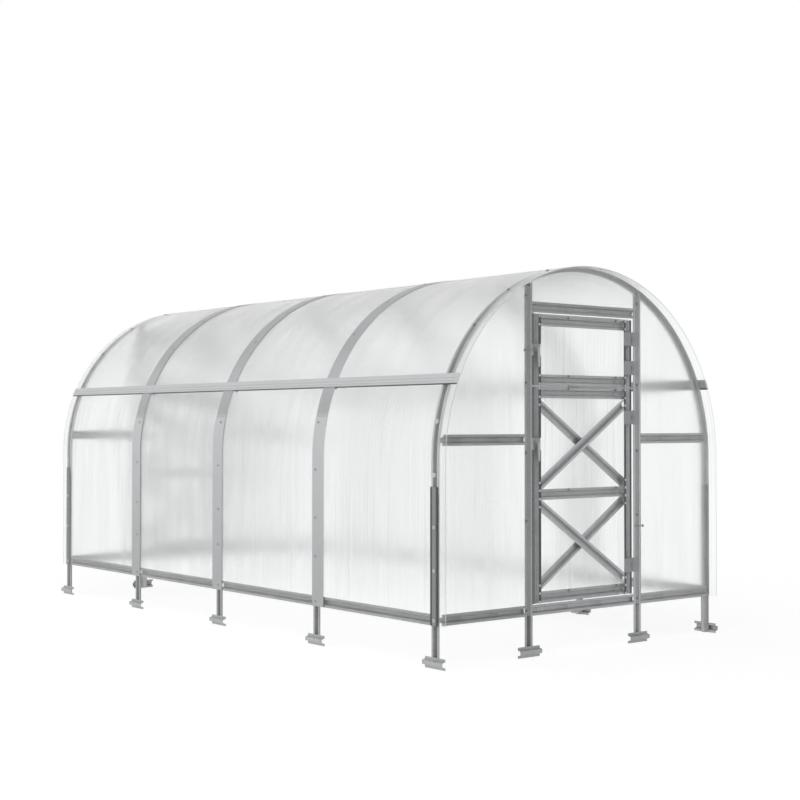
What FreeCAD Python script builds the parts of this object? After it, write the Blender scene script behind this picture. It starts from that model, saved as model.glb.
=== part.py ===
import FreeCAD, Part
import math
import os

# Arched garden greenhouse: galvanised hat-section arches on legs, twin-wall sheets bent over them,
# and a door with a vent above it in each end. Millimetres; X runs across, Y along and Z up, with
# the origin on the ground under the middle. The two ends, and the two long sides, are the same
# pieces turned half round about the vertical.

# House
SPAN = 2034.0  # flange face to flange face of two opposite legs
BAY_LENGTH = 1000.0  # from one arch to the next
BAY_COUNT = 4
WALL_HEIGHT = 802.0  # underside of the base rails to where the arch starts to bend
LEG_IN_GROUND = 210.0  # leg below the base rails
LEG_JOINT = 640.0  # butt joint of leg and arch, above the underside of the base rails

# Hat section of every rolled steel bar
HAT_WIDTH = 56.0  # over both flanges
HAT_DEPTH = 20.0  # flange face to the outside of the web
HAT_FLANGE = 13.0
HAT_LEAN = 6.0  # how far each wall leans in between flange and web
STEEL = 1.0

ROUND_SIDES = 12  # pins, barrels and spindles repeat, so they are prisms with this many sides

# Splice plates in the hollow of leg and arch, and anchors at the leg ends
SPLICE_LENGTH = 200.0
SPLICE_THICKNESS = 2.0
SPLICE_SIDE_ROOM = 1.5
ANCHOR_LENGTH = 155.0

# Sheets, the bands over the arches and the strips along the horizontal joints
SHEET = 4.0
SHEET_JOINT = 4.0  # room between two sheets that meet on an arch or under a strip
SEAT_GAP = 0.6  # pieces that lie on each other
OVERHANG = 55.0  # roof and wall sheets past the outside of the end arches
END_SHEET_CLEAR = 2.0  # end sheets inside the arch's flange face
BAND_WIDTH = 105.0
BAND_SHIFTS = (-23.0, 11.0, 13.0)  # middle of each band from that of its arch, front to rear
BAND = 1.0
JOINT_ANGLE = 23.7  # horizontal joint, in degrees up the arch
ROOF_BAND_ANGLE = 9.5  # lower ends of the roof bands
WALL_BAND_ANGLE = 12.6  # upper ends of the wall bands, which lap over the roof bands
STRIP_HEIGHT = 55.0
STRIP_THICKNESS = 2.0
STRIP_RIB = 2.5  # ribs stand this far proud of the strip
STRIP_RIB_WIDTH = 13.0
STRIP_RIB_SLOPE = 2.0
STRIP_GROOVE = 4.0  # between the two ribs
STRIP_LIP = 4.0  # drip lip along the lower edge
STRIP_LIP_THICKNESS = 1.5
CLAMP_HEIGHT = 680.0  # outer clamps at the four corners, above the underside of the base rails
CLAMP_DEPTH = 4.0  # the clamps are shallow hats
CLAMP_LEAN = 2.0

# Ends of the house; heights are above the underside of the base rails
POST_SPACING = 824.0
CROSS_RAIL_HEIGHT = 908.0
RAIL_TUCK = 10.0  # hollow of an end rail runs on behind a post's flange
HEADER_DROP = 102.0  # middle of the header below the place where the posts meet the arch
VENT_HEIGHT = 366.0  # the door takes the rest of the doorway
LEAF_GAP = 10.0  # above and below the vent, and round the hinge barrels
LATCH_SIDE_GAP = 2.0  # between a leaf and the post that it closes on
HINGE_SIDE_GAP = 18.0  # between a leaf and the post that it hangs on
DOOR_FOOT_GAP = 4.0
RAIL_INSET = 1.0  # leaf rails inside the edge of the leaf
LEAF_SIDE_INSET = 6.0  # sheet, rails and inner braces inside the outer edges of the stiles
BRACE_INSET = 26.0  # middle of a brace from the edge of the rail, where it meets the stile

# Hinges
HINGE_HEIGHT = 75.0
HINGE_PLATE = 2.0
HINGE_STAND = 4.0  # pin axis in front of the posts' flange face
HINGE_PLATE_REACH = 56.0  # plate on the stile
HINGE_SHEET_ROOM = 2.0  # plate on the post stops this far from the end sheet
KNUCKLE_CLEAR = 0.5
PIN_RADIUS = 2.5
PIN_CLEAR = 0.05
PIN_HEAD_RADIUS = 4.0
PIN_HEAD = 1.5
DOOR_HINGE_INSET = 157.0  # middle of a hinge from the end of the leaf
VENT_HINGE_INSET = 104.0

# Latches: a lever outside, a tongue inside, and the spindle between them
LATCH_PLATE_WIDTH = 40.0
LATCH_PLATE_HEIGHT = 60.0
SPINDLE_RADIUS = 5.0
SPINDLE_CLEAR = 0.05  # in the latch plate, which is its bearing
SPINDLE_ROOM = 3.0  # in the stile and the sheet
ROSE_RADIUS = 15.0
ROSE = 6.0
NECK_RADIUS = 7.0
NECK = 4.0
LEVER = 8.0
LEVER_LENGTH = 84.0
LEVER_ROOT_RADIUS = 9.0
LEVER_TIP_RADIUS = 6.5
TONGUE = 3.0
TONGUE_ROOM = 0.5  # behind the sheet
TONGUE_LENGTH = 78.0
TONGUE_ROOT_RADIUS = 10.0
TONGUE_TIP_RADIUS = 8.0

X = FreeCAD.Vector(1, 0, 0)
Y = FreeCAD.Vector(0, 1, 0)
Z = FreeCAD.Vector(0, 0, 1)

HALF_SPAN = SPAN / 2
HALF_HAT = HAT_WIDTH / 2
HALF_MOUTH = HALF_HAT - HAT_FLANGE
HALF_LENGTH = BAY_LENGTH * BAY_COUNT / 2
RAIL_Z = LEG_IN_GROUND
RAIL_MIDDLE_Z = RAIL_Z + HALF_HAT
SPRING_Z = RAIL_Z + WALL_HEIGHT
JOINT_Z = RAIL_Z + LEG_JOINT
ARCH_Y = [BAY_LENGTH * number - HALF_LENGTH for number in range(BAY_COUNT + 1)]
END_FACE = HALF_LENGTH + HALF_HAT  # flange face of the end posts and rails, from the middle
CLEAR_RADIUS = HALF_SPAN - HAT_DEPTH - SEAT_GAP  # what stands under the arches
SHEET_RADIUS = HALF_SPAN + SEAT_GAP
ROOF_BAND_RADIUS = SHEET_RADIUS + SHEET + SEAT_GAP
WALL_BAND_RADIUS = ROOF_BAND_RADIUS + BAND + SEAT_GAP


def vector(x, y, z):
    return FreeCAD.Vector(x, y, z)


def save(node, solids):
    """One file for one node, with each of its solids kept apart."""
    shape = solids[0] if len(solids) == 1 else Part.makeCompound(solids)
    shape.exportStep("parts/" + node + ".step")


def half_turned(solids):
    """The same pieces on the opposite side or end of the house."""
    copies = [solid.copy() for solid in solids]
    for copy in copies:
        copy.rotate(vector(0, 0, 0), Z, 180)
    return copies


def polygon_face(points):
    return Part.Face(Part.makePolygon(points + points[:1]))


def box_between(low, high):
    size = high - low
    return Part.makeBox(size.x, size.y, size.z, low)


def small_round(radius, length, start, direction):
    """Pin, barrel or spindle as a prism whose corners lie on the radius."""
    side = direction.cross(X)
    corners = []
    for number in range(ROUND_SIDES):
        angle = 2 * math.pi * number / ROUND_SIDES
        corners.append(start + X * (radius * math.cos(angle)) + side * (radius * math.sin(angle)))
    return polygon_face(corners).extrude(direction * length)


def small_bore(radius, length, start, direction):
    """Cutter whose flats lie on the radius, so that a pin can turn in the hole."""
    return small_round(radius / math.cos(math.pi / ROUND_SIDES), length, start, direction)


def hat_outline(deep, lean_in):
    """Hat section as points (across, depth): the flange face is at depth 0, the web is deepest."""
    lean = lean_in / (deep - STEEL)
    wall = STEEL * math.hypot(1, lean)
    inside_web = HALF_MOUTH - lean_in
    outside_flange = HALF_MOUTH + wall - lean * STEEL
    outside_web = HALF_MOUTH + wall - lean * deep
    outside = [(HALF_HAT, 0), (HALF_HAT, STEEL), (outside_flange, STEEL), (outside_web, deep)]
    inside = [(inside_web, deep - STEEL), (HALF_MOUTH, 0)]
    other_outside = [(-across, depth) for across, depth in reversed(outside)]
    other_inside = [(-across, depth) for across, depth in reversed(inside)]
    return outside + other_outside + other_inside + inside


def hat_face(middle, across, depth, deep=HAT_DEPTH, lean_in=HAT_LEAN):
    """The section, with middle on its flange face and depth pointing from there to the web."""
    return polygon_face([middle + across * u + depth * v for u, v in hat_outline(deep, lean_in)])


def hat_bar(middle, across, depth, run):
    return hat_face(middle, across, depth).extrude(run)


def arch(y):
    """Half-round bend with the mouth outwards, and a straight tail at each end down to the legs."""
    section = hat_face(vector(HALF_SPAN, y, SPRING_Z), Y, -X)
    bend = section.revolve(vector(0, y, SPRING_Z), -Y, 180)
    tail = section.extrude(-Z * (SPRING_Z - JOINT_Z))
    other_tail = tail.copy()
    other_tail.rotate(vector(0, y, 0), Z, 180)
    return bend.fuse([tail, other_tail]).Solids[0]


def on_arch(radius, degrees):
    """Point at a radius and an angle above the right-hand spring line."""
    angle = math.radians(degrees)
    return vector(radius * math.cos(angle), 0, SPRING_Z + radius * math.sin(angle))


def bent_skin(inner, thickness, start, end, y_from, y_to):
    """Sheet or band bent round the arch between two angles."""
    outer = inner + thickness
    middle = (start + end) / 2
    inside = Part.Arc(on_arch(inner, start), on_arch(inner, middle), on_arch(inner, end))
    outside = Part.Arc(on_arch(outer, end), on_arch(outer, middle), on_arch(outer, start))
    end_edge = Part.makeLine(on_arch(inner, end), on_arch(outer, end))
    start_edge = Part.makeLine(on_arch(outer, start), on_arch(inner, start))
    face = Part.Face(Part.Wire([inside.toShape(), end_edge, outside.toShape(), start_edge]))
    face.translate(Y * y_from)
    return face.extrude(Y * (y_to - y_from))


def wall_skin(inner, thickness, end, y_from, y_to):
    """Sheet or band on the right-hand wall: upright from the base rail, then bent up to an angle."""
    bent = bent_skin(inner, thickness, 0, end, y_from, y_to)
    upright = box_between(vector(inner, y_from, RAIL_Z), vector(inner + thickness, y_to, SPRING_Z))
    return upright.fuse(bent).Solids[0]


def tunnel(radius, y_from, y_to):
    """Everything under a skin of this radius, down to the ground."""
    arc = Part.Arc(on_arch(radius, 0), on_arch(radius, 90), on_arch(radius, 180))
    right_foot = vector(radius, 0, 0)
    left_foot = vector(-radius, 0, 0)
    left = Part.makeLine(on_arch(radius, 180), left_foot)
    floor = Part.makeLine(left_foot, right_foot)
    right = Part.makeLine(right_foot, on_arch(radius, 0))
    face = Part.Face(Part.Wire([arc.toShape(), left, floor, right]))
    face.translate(Y * y_from)
    return face.extrude(Y * (y_to - y_from))


def bay_ends(number):
    """Both ends of the sheets of a bay: between two arches, and past the arch at an end of the house."""
    y_from = ARCH_Y[number] + SHEET_JOINT / 2
    y_to = ARCH_Y[number + 1] - SHEET_JOINT / 2
    if number == 0:
        y_from = -END_FACE - OVERHANG
    if number == BAY_COUNT - 1:
        y_to = END_FACE + OVERHANG
    return y_from, y_to


def joint_strip():
    """Ribbed strip over the right-hand horizontal joint, with a drip lip at its lower edge."""
    half = STRIP_HEIGHT / 2
    proud = STRIP_THICKNESS + STRIP_RIB
    near = STRIP_GROOVE / 2
    far = near + STRIP_RIB_WIDTH
    rib = [
        (near, STRIP_THICKNESS),
        (near + STRIP_RIB_SLOPE, proud),
        (far - STRIP_RIB_SLOPE, proud),
        (far, STRIP_THICKNESS),
    ]
    lower_rib = [(-along, out) for along, out in reversed(rib)]
    lip_top = -half + STRIP_LIP_THICKNESS
    lip_out = STRIP_THICKNESS + STRIP_LIP
    lip = [(-half, 0), (-half, lip_out), (lip_top, lip_out), (lip_top, STRIP_THICKNESS)]
    outline = lip + lower_rib + rib + [(half, STRIP_THICKNESS), (half, 0)]
    angle = math.radians(JOINT_ANGLE)
    outward = X * math.cos(angle) + Z * math.sin(angle)
    upward = Z * math.cos(angle) - X * math.sin(angle)
    seat = on_arch(ROOF_BAND_RADIUS + BAND + SEAT_GAP, JOINT_ANGLE)
    end = -Y * (END_FACE + OVERHANG)
    face = polygon_face([seat + end + upward * along + outward * out for along, out in outline])
    return face.extrude(-end * 2)


def build_sides():
    """Arches, legs, anchors, base rails, sheets, bands and strips along the house."""
    last = len(ARCH_Y) - 1
    for number, y in enumerate(ARCH_Y):
        name = {0: "front_arch", last: "rear_arch"}.get(number, "arch_" + str(number + 1))
        save(name, [arch(y)])

    left_legs = []
    left_anchors = []
    left_splices = []
    plate_half = HALF_MOUTH - HAT_LEAN - SPLICE_SIDE_ROOM
    plate_x = -HALF_SPAN + HAT_DEPTH - STEEL
    for y in ARCH_Y:
        left_legs.append(hat_bar(vector(-HALF_SPAN, y, 0), Y, X, Z * JOINT_Z))
        anchor_start = vector(-HALF_SPAN, y - ANCHOR_LENGTH / 2, HALF_HAT)
        left_anchors.append(hat_bar(anchor_start, Z, -X, Y * ANCHOR_LENGTH))
        plate_low = vector(plate_x - SPLICE_THICKNESS, y - plate_half, JOINT_Z - SPLICE_LENGTH / 2)
        plate_high = vector(plate_x, y + plate_half, JOINT_Z + SPLICE_LENGTH / 2)
        left_splices.append(box_between(plate_low, plate_high))
    save("left_legs", left_legs)
    save("right_legs", half_turned(left_legs))
    save("leg_splices", left_splices + half_turned(left_splices))
    save("leg_anchors", left_anchors + half_turned(left_anchors))

    rail_length = BAY_LENGTH - HAT_WIDTH
    left_rails = []
    for y in ARCH_Y[:-1]:
        rail_start = vector(-HALF_SPAN, y + HALF_HAT, RAIL_MIDDLE_Z)
        left_rails.append(hat_bar(rail_start, Z, X, Y * rail_length))
    save("left_base_rails", left_rails)
    save("right_base_rails", half_turned(left_rails))

    joint_room = math.degrees(SHEET_JOINT / 2 / SHEET_RADIUS)
    roof_start = JOINT_ANGLE + joint_room
    right_sheets = []
    for number in range(BAY_COUNT):
        y_from, y_to = bay_ends(number)
        roof = bent_skin(SHEET_RADIUS, SHEET, roof_start, 180 - roof_start, y_from, y_to)
        save("roof_sheet_" + str(number + 1), [roof])
        right_sheets.append(wall_skin(SHEET_RADIUS, SHEET, JOINT_ANGLE - joint_room, y_from, y_to))
    save("right_wall_sheets", right_sheets)
    save("left_wall_sheets", half_turned(right_sheets))

    roof_bands = []
    wall_bands = []
    for y, shift in zip(ARCH_Y[1:-1], BAND_SHIFTS):
        y_from = y + shift - BAND_WIDTH / 2
        y_to = y + shift + BAND_WIDTH / 2
        over = 180 - ROOF_BAND_ANGLE
        roof_bands.append(bent_skin(ROOF_BAND_RADIUS, BAND, ROOF_BAND_ANGLE, over, y_from, y_to))
        wall_bands.append(wall_skin(WALL_BAND_RADIUS, BAND, WALL_BAND_ANGLE, y_from, y_to))
        opposite = wall_skin(WALL_BAND_RADIUS, BAND, WALL_BAND_ANGLE, -y_to, -y_from)
        wall_bands += half_turned([opposite])
    save("roof_bands", roof_bands)
    save("wall_bands", wall_bands)

    right_strip = joint_strip()
    save("right_joint_strip", [right_strip])
    save("left_joint_strip", half_turned([right_strip]))

    clamp_x = HALF_SPAN + SEAT_GAP + SHEET + SEAT_GAP
    clamps = []
    for y in (ARCH_Y[0], ARCH_Y[-1]):
        section = hat_face(vector(clamp_x, y, RAIL_Z), Y, X, CLAMP_DEPTH, CLAMP_LEAN)
        clamps.append(section.extrude(Z * CLAMP_HEIGHT))
    save("corner_clamps", clamps + half_turned(clamps))


# Places in the front end, which faces along -Y
POST_X = POST_SPACING / 2
POST_EDGE = POST_X - HALF_HAT  # edge of the post that faces the door
POST_TOP_Z = SPRING_Z + math.sqrt(CLEAR_RADIUS**2 - (POST_X + HALF_HAT) ** 2)
HEADER_Z = POST_TOP_Z - HEADER_DROP
LEAF_LEFT = -POST_EDGE + LATCH_SIDE_GAP
LEAF_RIGHT = POST_EDGE - HINGE_SIDE_GAP
LATCH_STILE_X = LEAF_LEFT + HALF_HAT
HINGE_STILE_X = LEAF_RIGHT - HALF_HAT
PANEL_LEFT = LEAF_LEFT + HAT_WIDTH  # between the stiles
PANEL_RIGHT = LEAF_RIGHT - HAT_WIDTH
DOOR_BOTTOM = RAIL_Z + HAT_WIDTH + DOOR_FOOT_GAP
VENT_TOP = HEADER_Z - HALF_HAT - LEAF_GAP
VENT_BOTTOM = VENT_TOP - VENT_HEIGHT
DOOR_TOP = VENT_BOTTOM - LEAF_GAP
STILE_WEB_Y = -END_FACE + HAT_DEPTH  # the stiles' flanges are flush with the posts' flange faces
LEAF_SHEET_Y = STILE_WEB_Y + SEAT_GAP
LEAF_RAIL_Y = LEAF_SHEET_Y + SHEET + SEAT_GAP
HINGE_X = LEAF_RIGHT + LEAF_GAP / 2
HINGE_Y = -END_FACE - HINGE_STAND
KNUCKLE_RADIUS = LEAF_GAP / 2 - KNUCKLE_CLEAR
PLATE_FRONT_Y = -END_FACE - HINGE_PLATE


def end_rail(x_from, x_to, z):
    """Hat rail across the end, mouth outwards, cut to the arch and notched for the posts' flanges."""
    rail = hat_bar(vector(x_from, -END_FACE, z), Z, Y, X * (x_to - x_from))
    under_arch = tunnel(CLEAR_RADIUS, -END_FACE, -END_FACE + HAT_DEPTH)
    notch_depth = STEEL + SEAT_GAP
    notches = []
    for x in (-POST_X, POST_X):
        low = vector(x - HALF_HAT, -END_FACE, z - HALF_HAT)
        high = vector(x + HALF_HAT, -END_FACE + notch_depth, z + HALF_HAT)
        notches.append(box_between(low, high))
    return rail.common(under_arch).cut(notches).Solids[0]


def build_end_frames():
    """Posts, rails, headers and anchors of both ends."""
    leg_web = HALF_SPAN - HAT_DEPTH
    side_end = POST_X + HALF_HAT - RAIL_TUCK
    middle_end = POST_EDGE + RAIL_TUCK
    under_arch = tunnel(CLEAR_RADIUS, -END_FACE, -END_FACE + HAT_DEPTH)
    posts = []
    anchors = []
    for x in (-POST_X, POST_X):
        post = hat_bar(vector(x, -END_FACE, 0), X, Y, Z * (SPRING_Z + HALF_SPAN))
        posts.append(post.common(under_arch).Solids[0])
        anchor_start = vector(x - ANCHOR_LENGTH / 2, -END_FACE, HALF_HAT)
        anchors.append(hat_bar(anchor_start, Z, -Y, X * ANCHOR_LENGTH))
    cross_z = RAIL_Z + CROSS_RAIL_HEIGHT
    cross_rails = [
        end_rail(-HALF_SPAN, -side_end, cross_z),
        end_rail(side_end, HALF_SPAN, cross_z),
    ]
    base_rails = [
        end_rail(-leg_web, -side_end, RAIL_MIDDLE_Z),
        end_rail(-middle_end, middle_end, RAIL_MIDDLE_Z),
        end_rail(side_end, leg_web, RAIL_MIDDLE_Z),
    ]
    headers = [end_rail(-middle_end, middle_end, HEADER_Z)]
    save("door_posts", posts + half_turned(posts))
    save("post_anchors", anchors + half_turned(anchors))
    save("end_cross_rails", cross_rails + half_turned(cross_rails))
    save("end_base_rails", base_rails + half_turned(base_rails))
    save("door_headers", headers + half_turned(headers))


def end_sheet(x_from, x_to, bottom):
    """Flat sheet on the flange faces of the end, cut to the arch."""
    front = -END_FACE - SEAT_GAP - SHEET
    back = -END_FACE - SEAT_GAP
    blank = tunnel(HALF_SPAN - END_SHEET_CLEAR, front, back)
    low = vector(x_from, front, bottom)
    high = vector(x_to, back, SPRING_Z + HALF_SPAN)
    return blank.common(box_between(low, high)).Solids[0]


def hinge_leaf(middle, edge, reach, barrels):
    """Plate from the edge of a post or stile, and the barrels that it wraps round the pin."""
    x_from = min(edge, reach)
    x_to = max(edge, reach)
    bottom = middle - HINGE_HEIGHT / 2
    low = vector(x_from, PLATE_FRONT_Y, bottom)
    plate = box_between(low, vector(x_to, -END_FACE, bottom + HINGE_HEIGHT))
    rolled = []
    for start, end in barrels:
        centre = vector(HINGE_X, HINGE_Y, bottom + start)
        rolled.append(small_round(KNUCKLE_RADIUS, end - start, centre, Z))
        tab_low = vector(min(edge, HINGE_X), PLATE_FRONT_Y, bottom + start)
        tab_high = vector(max(edge, HINGE_X), -END_FACE, bottom + end)
        rolled.append(box_between(tab_low, tab_high))
    bore = small_bore(PIN_RADIUS + PIN_CLEAR, HINGE_HEIGHT, vector(HINGE_X, HINGE_Y, bottom), Z)
    return plate.fuse(rolled).cut(bore).Solids[0]


def post_leaf(middle):
    third = HINGE_HEIGHT / 3
    reach = POST_X + HALF_MOUTH - HINGE_SHEET_ROOM
    return hinge_leaf(middle, POST_EDGE, reach, [(0, third), (2 * third, HINGE_HEIGHT)])


def stile_leaf(middle):
    third = HINGE_HEIGHT / 3
    reach = LEAF_RIGHT - HINGE_PLATE_REACH
    return hinge_leaf(middle, LEAF_RIGHT, reach, [(third + KNUCKLE_CLEAR, 2 * third - KNUCKLE_CLEAR)])


def hinge_pin(middle):
    """Pin with a flat head that rests on the top barrel."""
    bottom = vector(HINGE_X, HINGE_Y, middle - HINGE_HEIGHT / 2)
    shank = small_round(PIN_RADIUS, HINGE_HEIGHT, bottom, Z)
    head = small_round(PIN_HEAD_RADIUS, PIN_HEAD, bottom + Z * HINGE_HEIGHT, Z)
    return shank.fuse(head).Solids[0]


def spindle_hole(z, radius):
    """Cutter through a leaf where the latch spindle passes."""
    start = vector(LATCH_STILE_X, PLATE_FRONT_Y, z)
    return small_bore(radius, HINGE_PLATE + HAT_DEPTH + 2 * SHEET, start, Y)


def tapered_bar(centre, toward, root_radius, tip_radius, length, thickness):
    """Round-ended bar, tapered between two circles, with its thickness along +Y."""
    tip = centre + toward * length
    lift = (root_radius - tip_radius) / length
    spread = math.sqrt(1 - lift**2)
    right = X * spread + toward * lift
    left = -X * spread + toward * lift
    root_left = centre + left * root_radius
    root_right = centre + right * root_radius
    tip_left = tip + left * tip_radius
    tip_right = tip + right * tip_radius
    root_arc = Part.Arc(root_left, centre - toward * root_radius, root_right)
    tip_arc = Part.Arc(tip_right, tip + toward * tip_radius, tip_left)
    right_edge = Part.makeLine(root_right, tip_right)
    left_edge = Part.makeLine(tip_left, root_left)
    outline = Part.Wire([root_arc.toShape(), right_edge, tip_arc.toShape(), left_edge])
    return Part.Face(outline).extrude(Y * thickness)


def latch(z):
    """Lever with its rose, spindle and tongue; the tongue points up while the latch is open."""
    rose_back = PLATE_FRONT_Y - SEAT_GAP
    neck_front = rose_back - ROSE - NECK
    tongue_front = LEAF_SHEET_Y + SHEET + TONGUE_ROOM
    rose = Part.makeCylinder(ROSE_RADIUS, ROSE, vector(LATCH_STILE_X, rose_back - ROSE, z), Y)
    neck = small_round(NECK_RADIUS, NECK, vector(LATCH_STILE_X, neck_front, z), Y)
    lever_start = vector(LATCH_STILE_X, neck_front - LEVER, z)
    lever = tapered_bar(lever_start, -Z, LEVER_ROOT_RADIUS, LEVER_TIP_RADIUS, LEVER_LENGTH, LEVER)
    handle = rose.fuse([neck, lever]).Solids[0]
    spindle_length = tongue_front - rose_back
    spindle = small_round(SPINDLE_RADIUS, spindle_length, vector(LATCH_STILE_X, rose_back, z), Y)
    tongue_start = vector(LATCH_STILE_X, tongue_front, z)
    tongue = tapered_bar(tongue_start, Z, TONGUE_ROOT_RADIUS, TONGUE_TIP_RADIUS, TONGUE_LENGTH, TONGUE)
    return [handle, spindle, tongue]


def latch_plate(z):
    low = vector(LATCH_STILE_X - LATCH_PLATE_WIDTH / 2, PLATE_FRONT_Y, z - LATCH_PLATE_HEIGHT / 2)
    high = vector(LATCH_STILE_X + LATCH_PLATE_WIDTH / 2, -END_FACE, z + LATCH_PLATE_HEIGHT / 2)
    return box_between(low, high).cut(spindle_hole(z, SPINDLE_RADIUS + SPINDLE_CLEAR)).Solids[0]


def brace(start, end, trim):
    """Hat bar on a slant between two points on its flange face, cut to the room it has."""
    along = end - start
    along.normalize()
    spare = along * HAT_WIDTH
    bar = hat_bar(start - spare, along.cross(Y), Y, end - start + spare * 2)
    return bar.common(trim).Solids[0]


def panel_braces(low_rail, high_rail, outer_rises):
    """Crossed braces of one panel, mouths outwards: one between the stiles, one behind the sheet."""
    low = low_rail + HALF_HAT
    high = high_rail - HALF_HAT
    foot = low + BRACE_INSET
    head = high - BRACE_INSET
    left_outer, right_outer = (foot, head) if outer_rises else (head, foot)
    outer_room = box_between(
        vector(PANEL_LEFT + SEAT_GAP, -END_FACE, low_rail),
        vector(PANEL_RIGHT - SEAT_GAP, STILE_WEB_Y, high_rail),
    )
    outer = brace(
        vector(PANEL_LEFT, -END_FACE, left_outer),
        vector(PANEL_RIGHT, -END_FACE, right_outer),
        outer_room,
    )
    inner_room = box_between(
        vector(LEAF_LEFT + LEAF_SIDE_INSET, LEAF_RAIL_Y, low + SEAT_GAP),
        vector(LEAF_RIGHT - LEAF_SIDE_INSET, LEAF_RAIL_Y + HAT_DEPTH, high - SEAT_GAP),
    )
    inner = brace(
        vector(PANEL_LEFT, LEAF_RAIL_Y, right_outer),
        vector(PANEL_RIGHT, LEAF_RAIL_Y, left_outer),
        inner_room,
    )
    return [outer, inner]


def leaf(bottom, top, rail_heights, hinge_inset, latch_z):
    """Stiles, rails, sheet and fittings of a door or vent, as lists of solids."""
    stiles = []
    for x in (LATCH_STILE_X, HINGE_STILE_X):
        stile = hat_bar(vector(x, -END_FACE, bottom), X, Y, Z * (top - bottom))
        stiles.append(stile)
    room = SPINDLE_RADIUS + SPINDLE_ROOM
    stiles[0] = stiles[0].cut(spindle_hole(latch_z, room)).Solids[0]
    left = LEAF_LEFT + LEAF_SIDE_INSET
    right = LEAF_RIGHT - LEAF_SIDE_INSET
    rails = []
    for z in rail_heights:
        rails.append(hat_bar(vector(left, LEAF_RAIL_Y, z), Z, Y, X * (right - left)))
    low = vector(left, LEAF_SHEET_Y, bottom + RAIL_INSET)
    high = vector(right, LEAF_SHEET_Y + SHEET, top - RAIL_INSET)
    sheet = box_between(low, high).cut(spindle_hole(latch_z, room)).Solids[0]
    hinges = (bottom + hinge_inset, top - hinge_inset)
    fittings = [stile_leaf(z) for z in hinges] + [latch_plate(latch_z)]
    post_leaves = [post_leaf(z) for z in hinges]
    pins = [hinge_pin(z) for z in hinges]
    return stiles, rails, sheet, fittings, post_leaves, pins


def save_both_ends(name, solids):
    save("front_" + name, solids)
    save("rear_" + name, half_turned(solids))


def build_ends():
    """Sheets, doors and vents of both ends."""
    side_edge = POST_X + HALF_MOUTH
    top_half = POST_X - HALF_MOUTH
    save_both_ends("left_sheet", [end_sheet(-HALF_SPAN, -side_edge, RAIL_Z)])
    save_both_ends("right_sheet", [end_sheet(side_edge, HALF_SPAN, RAIL_Z)])
    save_both_ends("top_sheet", [end_sheet(-top_half, top_half, HEADER_Z - HALF_HAT)])

    rail_inset = RAIL_INSET + HALF_HAT
    door_low = DOOR_BOTTOM + rail_inset
    door_high = DOOR_TOP - rail_inset
    door_middle = (DOOR_BOTTOM + DOOR_TOP) / 2
    door_latch_z = (door_middle + door_high) / 2
    door_rails = (door_low, door_middle, door_high)
    door = leaf(DOOR_BOTTOM, DOOR_TOP, door_rails, DOOR_HINGE_INSET, door_latch_z)
    stiles, rails, sheet, fittings, door_post_leaves, door_pins = door
    braces = panel_braces(door_low, door_middle, False) + panel_braces(door_middle, door_high, True)
    save_both_ends("door_stiles", stiles)
    save_both_ends("door_rails", rails)
    save_both_ends("door_braces", braces)
    save_both_ends("door_sheet", [sheet])
    save_both_ends("door_fittings", fittings)
    save_both_ends("door_latch", latch(door_latch_z))

    vent_rails = (VENT_BOTTOM + rail_inset, VENT_TOP - rail_inset)
    vent_latch_z = (VENT_BOTTOM + VENT_TOP) / 2
    vent = leaf(VENT_BOTTOM, VENT_TOP, vent_rails, VENT_HINGE_INSET, vent_latch_z)
    stiles, rails, sheet, fittings, vent_post_leaves, vent_pins = vent
    save_both_ends("vent_stiles", stiles)
    save_both_ends("vent_rails", rails)
    save_both_ends("vent_sheet", [sheet])
    save_both_ends("vent_fittings", fittings)
    save_both_ends("vent_latch", latch(vent_latch_z))

    save_both_ends("post_hinge_leaves", door_post_leaves + vent_post_leaves)
    save_both_ends("hinge_pins", door_pins + vent_pins)


os.makedirs("parts", exist_ok=True)
build_sides()
build_end_frames()
build_ends()
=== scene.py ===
import math

import bmesh
import bpy
import numpy as np
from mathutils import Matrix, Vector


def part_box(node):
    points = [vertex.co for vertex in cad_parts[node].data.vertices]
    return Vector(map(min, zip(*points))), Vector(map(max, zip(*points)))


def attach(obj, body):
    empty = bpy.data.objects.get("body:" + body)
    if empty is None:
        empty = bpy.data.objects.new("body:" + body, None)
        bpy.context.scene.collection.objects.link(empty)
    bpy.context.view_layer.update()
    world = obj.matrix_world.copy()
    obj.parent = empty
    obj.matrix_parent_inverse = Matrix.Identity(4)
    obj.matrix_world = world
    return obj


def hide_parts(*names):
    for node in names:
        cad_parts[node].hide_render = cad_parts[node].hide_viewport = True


# Arched greenhouse of galvanised hat bars and twin-wall sheets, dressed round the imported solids.
# Metres; X runs across, Y along from the front door to the rear one, and Z up from the ground.
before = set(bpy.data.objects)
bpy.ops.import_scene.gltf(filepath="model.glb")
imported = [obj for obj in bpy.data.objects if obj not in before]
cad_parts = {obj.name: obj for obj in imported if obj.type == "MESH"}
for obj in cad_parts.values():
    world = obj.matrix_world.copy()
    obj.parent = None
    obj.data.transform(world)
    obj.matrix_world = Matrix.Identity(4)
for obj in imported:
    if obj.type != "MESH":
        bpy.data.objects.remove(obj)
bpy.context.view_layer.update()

# Legs, arches and side rails: one hat section, rolled from hot-dip galvanised strip, the arches bent to a
# half circle and bolted to the legs. The zinc froze in crystals a centimetre across and has a cloudy
# bloom. The hollows are drawn in a colour darker than the flanges: painted shade in the recess.
BAR_METAL = 0.4
CRYSTALS_PER_METRE = 75.0
CRYSTAL_CONTRAST = 0.16
CRYSTAL_ROUGHNESS = (0.38, 0.54)
CRYSTAL_RELIEF = {"Strength": 0.12, "Distance": 0.0005}
BLOOM_SCALE = 5.0
BLOOM_CONTRAST = 0.30
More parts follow.
